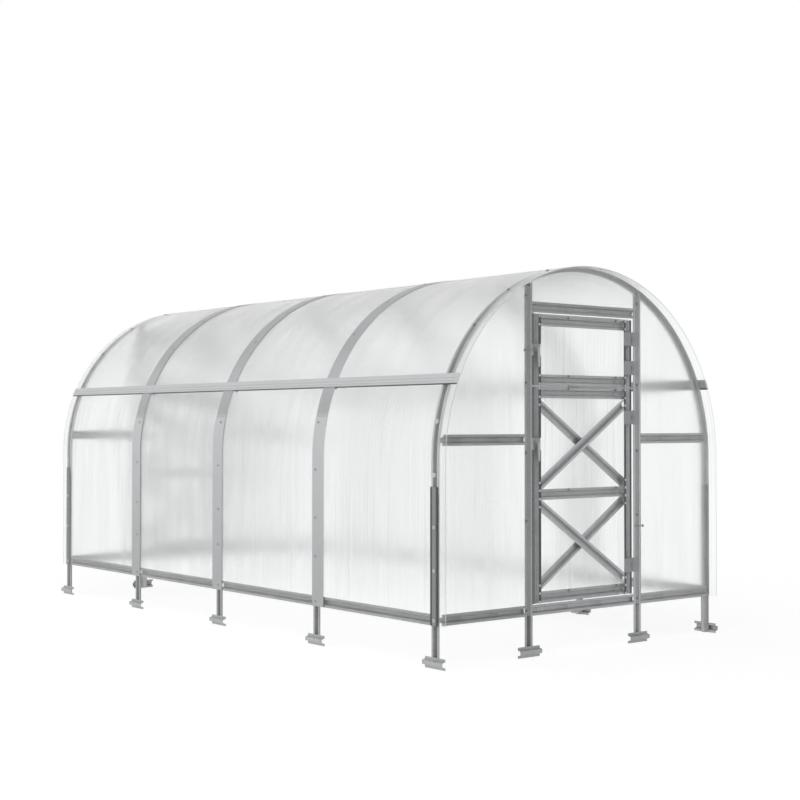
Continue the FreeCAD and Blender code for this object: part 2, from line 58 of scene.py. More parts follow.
# A pair of heights, depths or reaches is the stretch over which its tone comes in or goes.
# Each hollow colour below is painted shade: the hollow is drawn darker than the flanges.
LEG_ZINC = (0.40, 0.41, 0.415, 1.0)
LEG_HOLLOW_SHADE = (0.38, 0.39, 0.395, 1.0)
FOOT_TONE = 0.85
FOOT_HEIGHTS = (0.205, 0.215)
ARCH_ZINC = (0.55, 0.56, 0.565, 1.0)
ARCH_HOLLOW_SHADE = (0.37, 0.38, 0.385, 1.0)
LOW_ARCH_TONE = 1.26
LOW_ARCH_HEIGHTS = (1.34, 1.42)
RAIL_ZINC = (0.475, 0.485, 0.49, 1.0)
RAIL_HOLLOW_SHADE = (0.41, 0.42, 0.425, 1.0)
HOLLOW_DEPTHS = (0.0015, 0.005)
# Painted light: faces towards the inside of the bars are drawn brighter by this factor.
INNER_FACE_LIGHT = 1.22
SIDE_INNER_DEPTHS = (0.0192, 0.0196)
half_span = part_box("front_arch")[1].x
spring_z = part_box("front_arch")[1].z - half_span


def add_node(tree, kind, inputs=None, **settings):
    """Node of a kind, with its settings, and its inputs given as plain values or as sockets to link."""
    node = tree.nodes.new(kind)
    for key, value in settings.items():
        setattr(node, key, value)
    for key, value in (inputs or {}).items():
        if isinstance(value, bpy.types.NodeSocket):
            tree.links.new(value, node.inputs[key])
        else:
            node.inputs[key].default_value = value
    return node


def add_math(tree, operation, first, second=0.0):
    """First and second put through one sum, difference, product or other operation."""
    return add_node(tree, "ShaderNodeMath", {0: first, 1: second}, operation=operation).outputs[0]


def add_ramp(tree, value, low, high, at_low, at_high):
    """Value carried from one range to another, and held at its ends."""
    limits = {"Value": value, "From Min": low, "From Max": high, "To Min": at_low, "To Max": at_high}
    return add_node(tree, "ShaderNodeMapRange", limits).outputs[0]


def add_swing(tree, value, contrast):
    """How far a value from 0 to 1 lies above its middle, times a contrast."""
    return add_math(tree, "MULTIPLY", add_math(tree, "SUBTRACT", value, 0.5), contrast)


def add_noise(tree, place, scale, detail):
    """Cloudy noise from 0 to 1 at a place, of this scale and detail."""
    values = {"Vector": place, "Scale": scale, "Detail": detail}
    return add_node(tree, "ShaderNodeTexNoise", values).outputs["Fac"]


def add_scaled(tree, vector, factor):
    """Colour or direction times a factor."""
    values = {0: vector, "Scale": factor}
    return add_node(tree, "ShaderNodeVectorMath", values, operation="SCALE").outputs[0]


def add_colour_mix(tree, factor, first, second):
    """Colour that turns from the first to the second as the factor goes from 0 to 1."""
    both = {"Factor": factor, 6: first, 7: second}
    return add_node(tree, "ShaderNodeMix", both, data_type="RGBA").outputs[2]


def add_surface(tree, values):
    """Principled surface with these values, joined to the material's output."""
    shader = add_node(tree, "ShaderNodeBsdfPrincipled", values)
    add_node(tree, "ShaderNodeOutputMaterial", {"Surface": shader.outputs["BSDF"]})


def new_group(name, vectors, colours, numbers, outputs):
    """Empty node group with these inputs, by name, its outputs, by name and kind, and its two ends."""
    group = bpy.data.node_groups.new(name, "ShaderNodeTree")
    inputs = {**dict.fromkeys(vectors, "Vector"), **dict.fromkeys(colours, "Color")}
    inputs.update(dict.fromkeys(numbers, "Float"))
    for direction, sockets in (("INPUT", inputs), ("OUTPUT", outputs)):
        for socket, kind in sockets.items():
            group.interface.new_socket(socket, in_out=direction, socket_type="NodeSocket" + kind)
    return group, group.nodes.new("NodeGroupInput").outputs, group.nodes.new("NodeGroupOutput").inputs


def zinc_coat_group():
    """Zinc coat: the given tone, plus one for each crystal, a Voronoi cell, plus that of a slow cloudy
    noise, times the colour of the zinc; each crystal has its own gloss and height too."""
    numbers = ("Hollow", "Tone", "Crystals per metre", "Crystal contrast", "Bloom contrast")
    outputs = {"Color": "Color", "Roughness": "Float", "Height": "Float"}
    group, given, result = new_group("zinc coat", ("Place",), ("Zinc", "Hollow zinc"), numbers, outputs)
    cell_values = {"Vector": given["Place"], "Scale": given["Crystals per metre"]}
    cells = add_node(group, "ShaderNodeTexVoronoi", cell_values).outputs["Color"]
    crystal = add_node(group, "ShaderNodeSeparateColor", {"Color": cells}).outputs["Red"]
    cloud = add_noise(group, given["Place"], BLOOM_SCALE, 4.0)
    crystal_tone = add_swing(group, crystal, given["Crystal contrast"])
    cloud_tone = add_swing(group, cloud, given["Bloom contrast"])
    tone = add_math(group, "ADD", add_math(group, "ADD", crystal_tone, cloud_tone), given["Tone"])
    # Painted shade, and on the stiles painted light: where the mask marks a hollow, the zinc takes the
    # hollow's colour.
    zinc = add_colour_mix(group, given["Hollow"], given["Zinc"], given["Hollow zinc"])
    group.links.new(add_scaled(group, zinc, tone), result["Color"])
    group.links.new(add_ramp(group, crystal, 0.0, 1.0, *CRYSTAL_ROUGHNESS), result["Roughness"])
    group.links.new(crystal, result["Height"])
    return group


def side_hollow_group():
    """Mask of what lies behind the curved face of legs and arches: its distance from the line of the
    springs, counted sideways only below them, is less than the half span. The tone is brighter on the
    faces towards the inside, which is painted light, and it is brighter low on the arches and duller on
    the free ends of the legs."""
    outputs = {"Hollow": "Float", "Tone": "Float"}
    numbers = ("Low tone", "Foot tone")
    group, given, result = new_group("hollow of side bars", ("Place",), (), numbers, outputs)
    place = add_node(group, "ShaderNodeSeparateXYZ", {"Vector": given["Place"]}).outputs
    aside = add_math(group, "ABSOLUTE", place["X"])
    rise = add_math(group, "MAXIMUM", add_math(group, "SUBTRACT", place["Z"], spring_z), 0.0)
    aside_squared = add_math(group, "POWER", aside, 2.0)
    rise_squared = add_math(group, "POWER", rise, 2.0)
    distance = add_math(group, "SQRT", add_math(group, "ADD", aside_squared, rise_squared))
    depth = add_math(group, "SUBTRACT", half_span, distance)
    # Painted light on the faces towards the inside.
    inner = add_ramp(group, depth, *SIDE_INNER_DEPTHS, 1.0, INNER_FACE_LIGHT)
    low = add_ramp(group, place["Z"], *LOW_ARCH_HEIGHTS, given["Low tone"], 1.0)
    foot = add_ramp(group, place["Z"], *FOOT_HEIGHTS, given["Foot tone"], 1.0)
    by_height = add_math(group, "MULTIPLY", low, foot)
    group.links.new(add_ramp(group, depth, *HOLLOW_DEPTHS, 0.0, 1.0), result["Hollow"])
    group.links.new(add_math(group, "MULTIPLY", inner, by_height), result["Tone"])
    return group


zinc_coat = zinc_coat_group()
side_hollow = side_hollow_group()


def new_material(name):
    """Empty material and its node tree."""
    material = bpy.data.materials.new(name)
    material.use_nodes = True
    material.node_tree.nodes.clear()
    return material, material.node_tree


def zinc_coated(name, zinc, metal=BAR_METAL, crystals=CRYSTALS_PER_METRE, crystal_contrast=CRYSTAL_CONTRAST,
                bloom_contrast=BLOOM_CONTRAST, painted_hollow_zinc=None, mask_group=None, **tones):
    """Steel under a zinc coat, whose colour, gloss and faint relief come from the zinc coat group. A mask
    group may tell the hollow of a bar from its flanges, and the hollow then takes a colour of its own:
    painted shade, and on the stiles painted light. It may also set the tone by its own inputs; those
    that are not given change nothing."""
    material, tree = new_material(name)
    place = add_node(tree, "ShaderNodeTexCoord").outputs["Object"]
    coat_values = {
        "Place": place,
        "Zinc": zinc,
        "Hollow zinc": painted_hollow_zinc or zinc,
        "Crystals per metre": crystals,
        "Crystal contrast": crystal_contrast,
        "Bloom contrast": bloom_contrast,
        "Tone": 1.0,
    }
    coat = add_node(tree, "ShaderNodeGroup", coat_values, node_tree=zinc_coat)
    if mask_group:
        mask = add_node(tree, "ShaderNodeGroup", {"Place": place}, node_tree=mask_group)
        for socket in mask.inputs:
            if socket.name.endswith("tone"):
                socket.default_value = 1.0
        for tone_name, value in tones.items():
            mask.inputs[tone_name.replace("_", " ").capitalize()].default_value = value
        for output in mask.outputs:
            tree.links.new(output, coat.inputs[output.name])
    relief = add_node(tree, "ShaderNodeBump", {"Height": coat.outputs["Height"], **CRYSTAL_RELIEF})
    surface_values = {
        "Base Color": coat.outputs["Color"],
        "Roughness": coat.outputs["Roughness"],
        "Normal": relief.outputs["Normal"],
        "Metallic": metal,
    }
    add_surface(tree, surface_values)
    return material


def coat_nodes(material, *names):
    """One finish on these solids."""
    for name in names:
        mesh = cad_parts[name].data
        mesh.materials.clear()
        mesh.materials.append(material)


leg_steel = zinc_coated(
    "galvanised leg", LEG_ZINC, painted_hollow_zinc=LEG_HOLLOW_SHADE, mask_group=side_hollow, foot_tone=FOOT_TONE
)
arch_steel = zinc_coated(
    "galvanised arch", ARCH_ZINC, painted_hollow_zinc=ARCH_HOLLOW_SHADE, mask_group=side_hollow, low_tone=LOW_ARCH_TONE
)
rail_steel = zinc_coated("galvanised base rail", RAIL_ZINC, painted_hollow_zinc=RAIL_HOLLOW_SHADE, mask_group=side_hollow)
coat_nodes(leg_steel, "left_legs", "right_legs", "leg_splices")
coat_nodes(arch_steel, "front_arch", "arch_2", "arch_3", "arch_4", "rear_arch")
coat_nodes(rail_steel, "left_base_rails", "right_base_rails")

# End bars: door posts, headers, base rails and cross rails of the same hat section, butted between the
# legs of the end arches and bolted, with their mouths outwards. Their zinc is drawn darker than that of
# the side bars, painted shade on the ends that face away from the light, and patches of duller zinc run
# out along the bar.
# Painted shade: the end bars are drawn darker than the side bars, and their hollows darker still.
END_SHADED_ZINC = (0.335, 0.342, 0.347, 1.0)
END_HOLLOW_SHADE = (0.325, 0.332, 0.337, 1.0)
# Painted light: the bars towards the right-hand post are drawn brighter.
RIGHT_POST_LIGHT = 1.28
RIGHT_POST_REACH = (-0.30, -0.42)
HINGE_REACH = (-0.272, -0.308)
MIDDLE_HOLLOW = 0.22
MIDDLE_REACH = (0.375, 0.395)
PATCH = -0.22
PATCHES_PER_METRE = 4.0
PATCH_SHIFT = 0.86
PATCH_PART = (0.6, 1.0)
END_INNER_DEPTHS = (0.0195, 0.0199)
END_FACE_MARGIN = 0.0003
LEAF_DEPTHS = (0.0235, 0.0245)
end_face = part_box("door_posts")[1].y
hat_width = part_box("door_headers")[1].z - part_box("door_headers")[0].z
leaf_step = end_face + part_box("front_door_rails")[0].y


def end_hollow_group():
    """Mask of what lies behind the flat face of end bars, counted afresh from the leaf rails' face. The
    tone is painted light where it rises to the right-hand post, on inner faces, on what lies behind the
    sheet of a leaf and at its hinges, where the stile shades the rails; it also rises in the middle
    hollows, and falls in patches of dull zinc: a saw tooth that runs out to the left."""
    outputs = {"Hollow": "Float", "Tone": "Float"}
    numbers = ("Patch", "Middle", "Leaf tone", "Hinge tone")
    group, given, result = new_group("hollow of end bars", ("Place",), (), numbers, outputs)
    place = add_node(group, "ShaderNodeSeparateXYZ", {"Vector": given["Place"]}).outputs
    below = add_math(group, "SUBTRACT", end_face + END_FACE_MARGIN, add_math(group, "ABSOLUTE", place["Y"]))
    depth = add_math(group, "FLOORED_MODULO", below, leaf_step)
    hollow = add_ramp(group, depth, *HOLLOW_DEPTHS, 0.0, 1.0)
    shifted = add_math(group, "ADD", place["X"], PATCH_SHIFT)
    tooth = add_math(group, "FRACT", add_math(group, "MULTIPLY", shifted, PATCHES_PER_METRE))
    patch = add_ramp(group, tooth, *PATCH_PART, 0.0, given["Patch"])
    middle = add_ramp(group, add_math(group, "ABSOLUTE", place["X"]), *MIDDLE_REACH, given["Middle"], 0.0)
    in_hollow = add_math(group, "MULTIPLY", add_math(group, "ADD", patch, middle), hollow)
    across = add_math(group, "MULTIPLY", place["X"], add_math(group, "SIGN", place["Y"]))
    # Painted light towards the right-hand post.
    right_post_light = add_ramp(group, across, *RIGHT_POST_REACH, 1.0, RIGHT_POST_LIGHT)
    # Painted light on the faces towards the inside.
    inner = add_ramp(group, depth, *END_INNER_DEPTHS, 1.0, INNER_FACE_LIGHT)
    # Painted light on what lies behind the sheet of a leaf.
    leaf = add_ramp(group, below, *LEAF_DEPTHS, 1.0, given["Leaf tone"])
    # Painted light at the hinge ends, against the shade of the stile.
    hinge = add_ramp(group, across, *HINGE_REACH, 1.0, given["Hinge tone"])
    on_leaf = add_math(group, "MULTIPLY", leaf, hinge)
    on_faces = add_math(group, "MULTIPLY", inner, on_leaf)
    tone = add_math(group, "MULTIPLY", add_math(group, "ADD", right_post_light, in_hollow), on_faces)
    group.links.new(hollow, result["Hollow"])
    group.links.new(tone, result["Tone"])
    return group


end_hollow = end_hollow_group()
end_steel = zinc_coated(
    "galvanised end bar",
    END_SHADED_ZINC,
    painted_hollow_zinc=END_HOLLOW_SHADE,
    mask_group=end_hollow,
    patch=PATCH,
    middle=MIDDLE_HOLLOW,
)
coat_nodes(end_steel, "door_posts", "door_headers", "end_base_rails", "end_cross_rails")

# Anchors: short lengths of the same bar bolted across the ends of legs and posts, and dug in with them to
# hold the house down.
ANCHOR_ZINC = (0.40, 0.41, 0.415, 1.0)
# Painted shade: the post anchors, on the ends, are drawn darker than the leg anchors.
POST_ANCHOR_SHADED_ZINC = (0.33, 0.337, 0.342, 1.0)
coat_nodes(zinc_coated("galvanised leg anchor", ANCHOR_ZINC), "leg_anchors")
coat_nodes(zinc_coated("galvanised post anchor", POST_ANCHOR_SHADED_ZINC), "post_anchors")

# Twin-wall sheets: two clear polycarbonate skins 4 mm apart with a rib every 6 mm, cut so that the
# flutes run up the walls and over the roof, and bolted to the bars. The ribs blur what lies behind, the
# more the farther it is.
SHEET_TINT = (0.992, 1.0, 0.998)
SHEET_IOR = 1.35
ROUGHNESS_SPREAD = 0.15
EDGE_TINT = (0.82, 0.84, 0.84)
EDGE_TONES = (0.92, 1.0)
EDGE_ROUGHNESS = 0.5
EDGE_CLEARNESS = 0.35
RIB_PITCH = 0.0062
LINE_PITCH = 0.026
LINE_PART = 0.6
LINE_STRETCH = 0.03
LINE_NOISE = 22.0
LINE_WANDER = 20.0
LINE_STRENGTHS = (0.2, 1.0)
CLOUD_STRETCH = 0.15
CLOUD_NOISE = 9.0
CLOUD_RANGE = (0.35, 0.65)
ARC_STEPS = 64
END_STEPS = 40
SMOOTH_ANGLE = 40
END_TURNS = {"front": np.ones(3), "rear": np.array([-1.0, -1.0, 1.0])}
sheet_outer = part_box("roof_sheet_1")[1].z - spring_z
sheet_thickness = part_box("front_door_sheet")[1].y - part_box("front_door_sheet")[0].y
sheet_inner = sheet_outer - sheet_thickness


def drawn_out_noise(group, place, stretch, scale):
    """Noise over a sheet, drawn out along the flutes: lengths along them count only by the stretch."""
    along = add_math(group, "MULTIPLY", place["Y"], stretch)
    run = add_node(group, "ShaderNodeCombineXYZ", {"X": place["X"], "Y": along}).outputs[0]
    return add_noise(group, run, scale, 2.0)


def flute_group():
    """Lines along the flutes, a wave across them whose phase and strength wander with noise drawn out along
    them, and the lean of the skins over the ribs, a finer wave."""
    outputs = {"Line": "Float", "Cloud": "Float", "Lean": "Float"}
    group, given, result = new_group("flutes", ("Flutes",), (), (), outputs)
    place = add_node(group, "ShaderNodeSeparateXYZ", {"Vector": given["Flutes"]}).outputs
    phase = add_swing(group, drawn_out_noise(group, place, LINE_STRETCH, LINE_NOISE), LINE_WANDER)
    turns = add_math(group, "MULTIPLY", place["X"], 2 * math.pi / LINE_PITCH)
    wave = add_math(group, "SINE", add_math(group, "ADD", turns, phase))
    cloud = drawn_out_noise(group, place, CLOUD_STRETCH, CLOUD_NOISE)
    strength = add_ramp(group, cloud, *CLOUD_RANGE, *LINE_STRENGTHS)
    half_wave = add_math(group, "MULTIPLY", add_math(group, "MULTIPLY", wave, strength), 0.5)
    ribs = add_math(group, "SINE", add_math(group, "MULTIPLY", place["X"], 2 * math.pi / RIB_PITCH))
    group.links.new(add_math(group, "ADD", half_wave, 0.5), result["Line"])
    group.links.new(cloud, result["Cloud"])
    group.links.new(ribs, result["Lean"])
    return group


flute_lines = flute_group()


def flute_pattern(tree):
    """Outputs of the flutes group, read from the sheet's own map of lengths across and along its flutes."""
    flutes = add_node(tree, "ShaderNodeUVMap", uv_map="flutes").outputs["UV"]
    return add_node(tree, "ShaderNodeGroup", {"Flutes": flutes}, node_tree=flute_lines).outputs


def twin_wall(name, haze, lines, rib_lean, roughness):
    """Clear skins with a slightly rough pass-through and a little haze; the flute lines shift the tint, and
    the ribs lean the normal to and fro across the flutes."""
    material, tree = new_material(name)
    pattern = flute_pattern(tree)
    tone = add_ramp(tree, pattern["Line"], 0.0, LINE_PART, 1.0 - lines, 1.0)
    smooth = (1 - ROUGHNESS_SPREAD) * roughness
    coarse = (1 + ROUGHNESS_SPREAD) * roughness
    across = add_node(tree, "ShaderNodeTangent", direction_type="UV_MAP", uv_map="flutes").outputs[0]
    aside = add_scaled(tree, across, add_math(tree, "MULTIPLY", pattern["Lean"], rib_lean))
    upright = add_node(tree, "ShaderNodeNewGeometry").outputs["Normal"]
    leaning = add_node(tree, "ShaderNodeVectorMath", {0: upright, 1: aside}, operation="ADD").outputs[0]
    normal = add_node(tree, "ShaderNodeVectorMath", {0: leaning}, operation="NORMALIZE").outputs[0]
    surface_values = {
        "Base Color": add_scaled(tree, SHEET_TINT, tone),
        "Roughness": add_ramp(tree, pattern["Cloud"], *CLOUD_RANGE, smooth, coarse),
        "IOR": SHEET_IOR,
        "Transmission Weight": 1.0 - haze,
        "Normal": normal,
    }
    add_surface(tree, surface_values)
    return material


def cut_edge_material():
    """Sawn edge of a sheet: milky, and toned by the flute lines where a rib meets the cut."""
    material, tree = new_material("sawn sheet edge")
    tone = add_ramp(tree, flute_pattern(tree)["Line"], 0.0, 1.0, *EDGE_TONES)
    surface_values = {
        "Base Color": add_scaled(tree, EDGE_TINT, tone),
        "Roughness": EDGE_ROUGHNESS,
        "IOR": SHEET_IOR,
        "Transmission Weight": EDGE_CLEARNESS,
    }
    add_surface(tree, surface_values)
    return material


wall_sheet = twin_wall("wall twin-wall sheet", haze=0.012, lines=0.05, rib_lean=0.045, roughness=0.185)
roof_sheet = twin_wall("roof twin-wall sheet", haze=0.03, lines=0.02, rib_lean=0.055, roughness=0.19)
end_sheet = twin_wall("end twin-wall sheet", haze=0.008, lines=0.03, rib_lean=0.055, roughness=0.23)
leaf_sheet = twin_wall("leaf twin-wall sheet", haze=0.008, lines=0.06, rib_lean=0.055, roughness=0.22)
cut_edge = cut_edge_material()


def put_mesh(name, points, faces, material, smooth_angle=None):
    """Mesh object at the origin from an array of points and lists of corner numbers, faces outward."""
    mesh = bpy.data.meshes.new(name)
    mesh.from_pydata(points, [], faces)
    shell = bmesh.new()
    shell.from_mesh(mesh)
    bmesh.ops.recalc_face_normals(shell, faces=shell.faces)
    shell.to_mesh(mesh)
    shell.free()
    if smooth_angle is not None:
        mesh.polygons.foreach_set("use_smooth", np.ones(len(mesh.polygons), bool))
        mesh.set_sharp_from_angle(angle=math.radians(smooth_angle))
    mesh.materials.append(material)
    piece = bpy.data.objects.new(name, mesh)
    bpy.context.scene.collection.objects.link(piece)
    return piece


def slab_faces(rows, columns):
    """Corner numbers of a closed slab: the grid of its outer face, that of its inner face, and the rim."""
    number = np.arange(rows * columns).reshape(rows, columns)
    corners = [number[:-1, :-1], number[:-1, 1:], number[1:, 1:], number[1:, :-1]]
    outer = np.stack(corners, -1).reshape(-1, 4)
    inner = outer[:, ::-1] + rows * columns
    ring = np.concatenate([number[0, :-1], number[:-1, -1], number[-1, :0:-1], number[:0:-1, 0]])
    after = np.roll(ring, -1)
    rim = np.stack([after, ring, ring + rows * columns, after + rows * columns], -1)
    on_rim = np.repeat([False, True], [2 * len(outer), len(rim)])
    return np.concatenate([outer, inner, rim]), on_rim


def sheet_piece(name, node, body, slabs, material=wall_sheet):
    """Piece in the place of a solid, of one or more slabs, each given as outer points, inner points,
    and the lengths in metres across and along the flutes at which its grid points lie."""
    points = []
    faces = []
    rims = []
    flutes = []
    count = 0
    for outer, inner, across, along in slabs:
        rows, columns = outer.shape[:2]
        corners, on_rim = slab_faces(rows, columns)
        points += [outer.reshape(-1, 3), inner.reshape(-1, 3)]
        faces.append(corners + count)
        rims.append(on_rim)
        place = np.stack(np.broadcast_arrays(across, along), -1).reshape(-1, 2)
        flutes += [place, place]
        count += 2 * rows * columns
    piece = put_mesh(name, np.concatenate(points), np.concatenate(faces).tolist(), material, SMOOTH_ANGLE)
    mesh = piece.data
    mesh.materials.append(cut_edge)
    mesh.polygons.foreach_set("material_index", np.concatenate(rims).astype(np.int32))
    corner = np.empty(len(mesh.loops), np.int32)
    mesh.loops.foreach_get("vertex_index", corner)
    layer = mesh.uv_layers.new(name="flutes")
    layer.data.foreach_set("uv", np.concatenate(flutes)[corner].ravel().astype(np.float32))
    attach(piece, body)
    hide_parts(node)


def bent_points(angle, radius, y):
    """Points at angles up from the left-hand spring line, on a radius, at places along the house."""
    x = -radius * np.cos(angle)[:, None] + 0 * y[None, :]
    z = spring_z + radius * np.sin(angle)[:, None] + 0 * y[None, :]
    return np.stack([x, np.broadcast_to(y, x.shape), z], -1)


def upright_slab(x, z, low, high):
    """Slab of a flat end sheet: its grid of x and z, once at the low y of its box and once at the high."""
    outer = np.stack([x, np.full_like(z, low.y), z], -1)
    inner = np.stack([x, np.full_like(z, high.y), z], -1)
    return outer, inner, x, z


def half_turned(points):
    """The same points on the opposite side and end of the house."""
    return np.asarray(points) * END_TURNS["rear"]


def at_both_ends(points):
    """These points or directions of the front end, and after them those of the rear end, half turned."""
    return np.concatenate([points, half_turned(points)])


bay_ends = []
for bay in range(1, 5):
    low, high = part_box(f"roof_sheet_{bay}")
    bay_ends.append(np.array([low.y, high.y]))
roof_start = math.asin((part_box("roof_sheet_1")[0].z - spring_z) / sheet_inner)
angle = np.linspace(roof_start, math.pi - roof_start, ARC_STEPS + 1)
for bay, y in enumerate(bay_ends, 1):
    outer = bent_points(angle, sheet_outer, y)
    inner = bent_points(angle, sheet_inner, y)
    slab = (outer, inner, y[None, :], angle[:, None] * sheet_outer)
    sheet_piece(f"roof_twin_wall_{bay}", f"roof_sheet_{bay}", "frame", [slab], roof_sheet)

wall_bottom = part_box("left_wall_sheets")[0].z
wall_end = math.asin((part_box("left_wall_sheets")[1].z - spring_z) / sheet_outer)
angle = np.concatenate([[0.0], np.linspace(0.0, wall_end, ARC_STEPS // 3)])
along = angle * sheet_outer
along[0] = wall_bottom - spring_z
left_slabs = []
for y in bay_ends:
    outer = bent_points(angle, sheet_outer, y)
    inner = bent_points(angle, sheet_inner, y)
    outer[0, :, 2] = wall_bottom
    inner[0, :, 2] = wall_bottom
    left_slabs.append((outer, inner, y[None, :], along[:, None]))
right_slabs = [(half_turned(outer), half_turned(inner), y, up) for outer, inner, y, up in left_slabs]
sheet_piece("left_wall_twin_walls", "left_wall_sheets", "frame", left_slabs)
sheet_piece("right_wall_twin_walls", "right_wall_sheets", "frame", right_slabs)

end_radius = -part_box("front_left_sheet")[0].x
share = np.sin(np.linspace(-math.pi / 2, math.pi / 2, END_STEPS + 1)) / 2 + 0.5
for end in ("front", "rear"):
    for part in ("left", "right", "top"):
        node = f"{end}_{part}_sheet"
        low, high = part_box(node)
        x = low.x + (high.x - low.x) * share
        top = spring_z + np.sqrt(np.maximum(end_radius**2 - x**2, 0.0))
        z = low.z + (top - low.z)[None, :] * np.array([0.0, 1.0])[:, None]
        slab = upright_slab(np.broadcast_to(x, z.shape), z, low, high)
        sheet_piece(f"{end}_{part}_twin_wall", node, "frame", [slab], end_sheet)
    for leaf in ("door", "vent"):
        node = f"{end}_{leaf}_sheet"
        low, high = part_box(node)
        x, z = np.meshgrid([low.x, high.x], [low.z, high.z])
        slab = upright_slab(x, z, low, high)
        sheet_piece(f"{end}_{leaf}_twin_wall", node, f"{end}_{leaf}_leaf", [slab], leaf_sheet)

# Bands and joint strips: flat zinc-coated strip laid over the sheet joints on the three inner arches,
# and a ribbed strip along each horizontal joint, bolted through the sheets; thin stock with a smooth coat.
ROOF_BAND_ZINC = (0.37, 0.385, 0.39, 1.0)
WALL_BAND_ZINC = (0.44, 0.455, 0.46, 1.0)
BAND_COAT = {"crystals": 110.0, "crystal_contrast": 0.05, "bloom_contrast": 0.10}
# Painted light and shade on the bands, by height.
WALL_BAND_HEIGHTS = (0.30, 1.25)
WALL_BAND_LIGHT = (0.85, 1.14)
ROOF_BAND_HEIGHTS = (1.25, 1.26)
BRIGHT_HEIGHT = 1.47
BRIGHT_REACH = (0.02, 0.16)
BRIGHT_TONES = (1.0, 0.87)
STRIP_ZINC = (0.52, 0.535, 0.54, 1.0)
STRIP_COAT = {"crystals": 110.0, "crystal_contrast": 0.04, "bloom_contrast": 0.08}


def band_tone_group():
    """Tone of the bands by height, painted light and shade: slowly brighter up the wall, and a bright place
    above the joint strip where the roof bands turn to the sky, a ramp in the distance from its height."""
    group, given, result = new_group("band tone", ("Place",), (), (), {"Tone": "Float"})
    height = add_node(group, "ShaderNodeSeparateXYZ", {"Vector": given["Place"]}).outputs["Z"]
    wall = add_ramp(group, height, *WALL_BAND_HEIGHTS, *WALL_BAND_LIGHT)
    past = add_math(group, "ABSOLUTE", add_math(group, "SUBTRACT", height, BRIGHT_HEIGHT))
    bright = add_ramp(group, past, *BRIGHT_REACH, *BRIGHT_TONES)
    roof = add_ramp(group, height, *ROOF_BAND_HEIGHTS, 1.0, bright)
    group.links.new(add_math(group, "MULTIPLY", wall, roof), result["Tone"])
    return group


band_light_and_shade = band_tone_group()
roof_band_steel = zinc_coated("zinc roof band", ROOF_BAND_ZINC, **BAND_COAT, mask_group=band_light_and_shade)
wall_band_steel = zinc_coated("zinc wall band", WALL_BAND_ZINC, **BAND_COAT, mask_group=band_light_and_shade)
strip_steel = zinc_coated("zinc joint strip", STRIP_ZINC, **STRIP_COAT)
coat_nodes(roof_band_steel, "roof_bands")
coat_nodes(wall_band_steel, "wall_bands")
coat_nodes(strip_steel, "left_joint_strip", "right_joint_strip")

# Corner clamps: shallow hats of zinc-coated strip bolted over the sheets at the four corner legs; the one
# left of each door has a black rubber seal glued along both flanges.
CLAMP_ZINC = (0.225, 0.23, 0.233, 1.0)
RUBBER = (0.055, 0.057, 0.058)
RUBBER_GRAIN = 60.0
GRAIN_RANGE = (0.3, 0.7)
RUBBER_TONES = (0.8, 1.25)
RUBBER_ROUGHNESS = (0.55, 0.7)
SEAL_WIDTH = 0.0122
SEAL_THICKNESS = 0.0022
SEAL_EDGE = 0.0006
SEAL_SEAT = 0.0029
clamp_steel = zinc_coated("dull zinc clamp", CLAMP_ZINC, crystal_contrast=0.10, bloom_contrast=0.20)
coat_nodes(clamp_steel, "corner_clamps")


def rubber_material(name, shade):
    """Rubber of one shade: a fine grain of tone and a rough surface."""
    material, tree = new_material(name)
    place = add_node(tree, "ShaderNodeTexCoord").outputs["Object"]
    grain = add_noise(tree, place, RUBBER_GRAIN, 3.0)
    tone = add_ramp(tree, grain, *GRAIN_RANGE, *RUBBER_TONES)
    rough = add_ramp(tree, grain, *GRAIN_RANGE, *RUBBER_ROUGHNESS)
    add_surface(tree, {"Base Color": add_scaled(tree, shade, tone), "Roughness": rough})
    return material


rubber = rubber_material("black rubber", RUBBER)


def carried(profile, starts, ends, across, outward):
    """Closed profile, given as points (across, outward), carried straight from each start to its end,
    with flat caps: start or end plus across times the one plus outward times the other."""
    profile = np.asarray(profile, float)
    starts = np.atleast_2d(starts)
    ends = np.atleast_2d(ends)
    across = np.broadcast_to(across, starts.shape)[:, None, :]
    outward = np.broadcast_to(outward, starts.shape)[:, None, :]
    ring = profile[None, :, :1] * across + profile[None, :, 1:] * outward
    points = np.stack([starts[:, None, :] + ring, ends[:, None, :] + ring], 1)
    count = len(profile)
    corner = np.arange(count)
    after = np.roll(corner, -1)
    side = np.stack([corner, after, after + count, corner + count], -1)
    cap = np.stack([corner[::-1], corner + count])
    first = (np.arange(len(starts)) * 2 * count)[:, None, None]
    faces = (side[None] + first).reshape(-1, 4).tolist() + (cap[None] + first).reshape(-1, count).tolist()
    return points.reshape(-1, 3), faces


def flat_profile(width, thickness, edge):
    """Rectangle with its outer corners cut at the edge; its back lies on the seat."""
    half = width / 2
    low = [(-half, 0.0), (half, 0.0), (half, thickness - edge)]
    return low + [(half - edge, thickness), (-half + edge, thickness), (-half, thickness - edge)]


def dress(name, mesh_data, material, body="frame", smooth_angle=None):
    """Extra piece, riding a body, in a material slot of the part."""
    piece = put_mesh(name, *mesh_data, material, smooth_angle)
    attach(piece, body)
    return piece


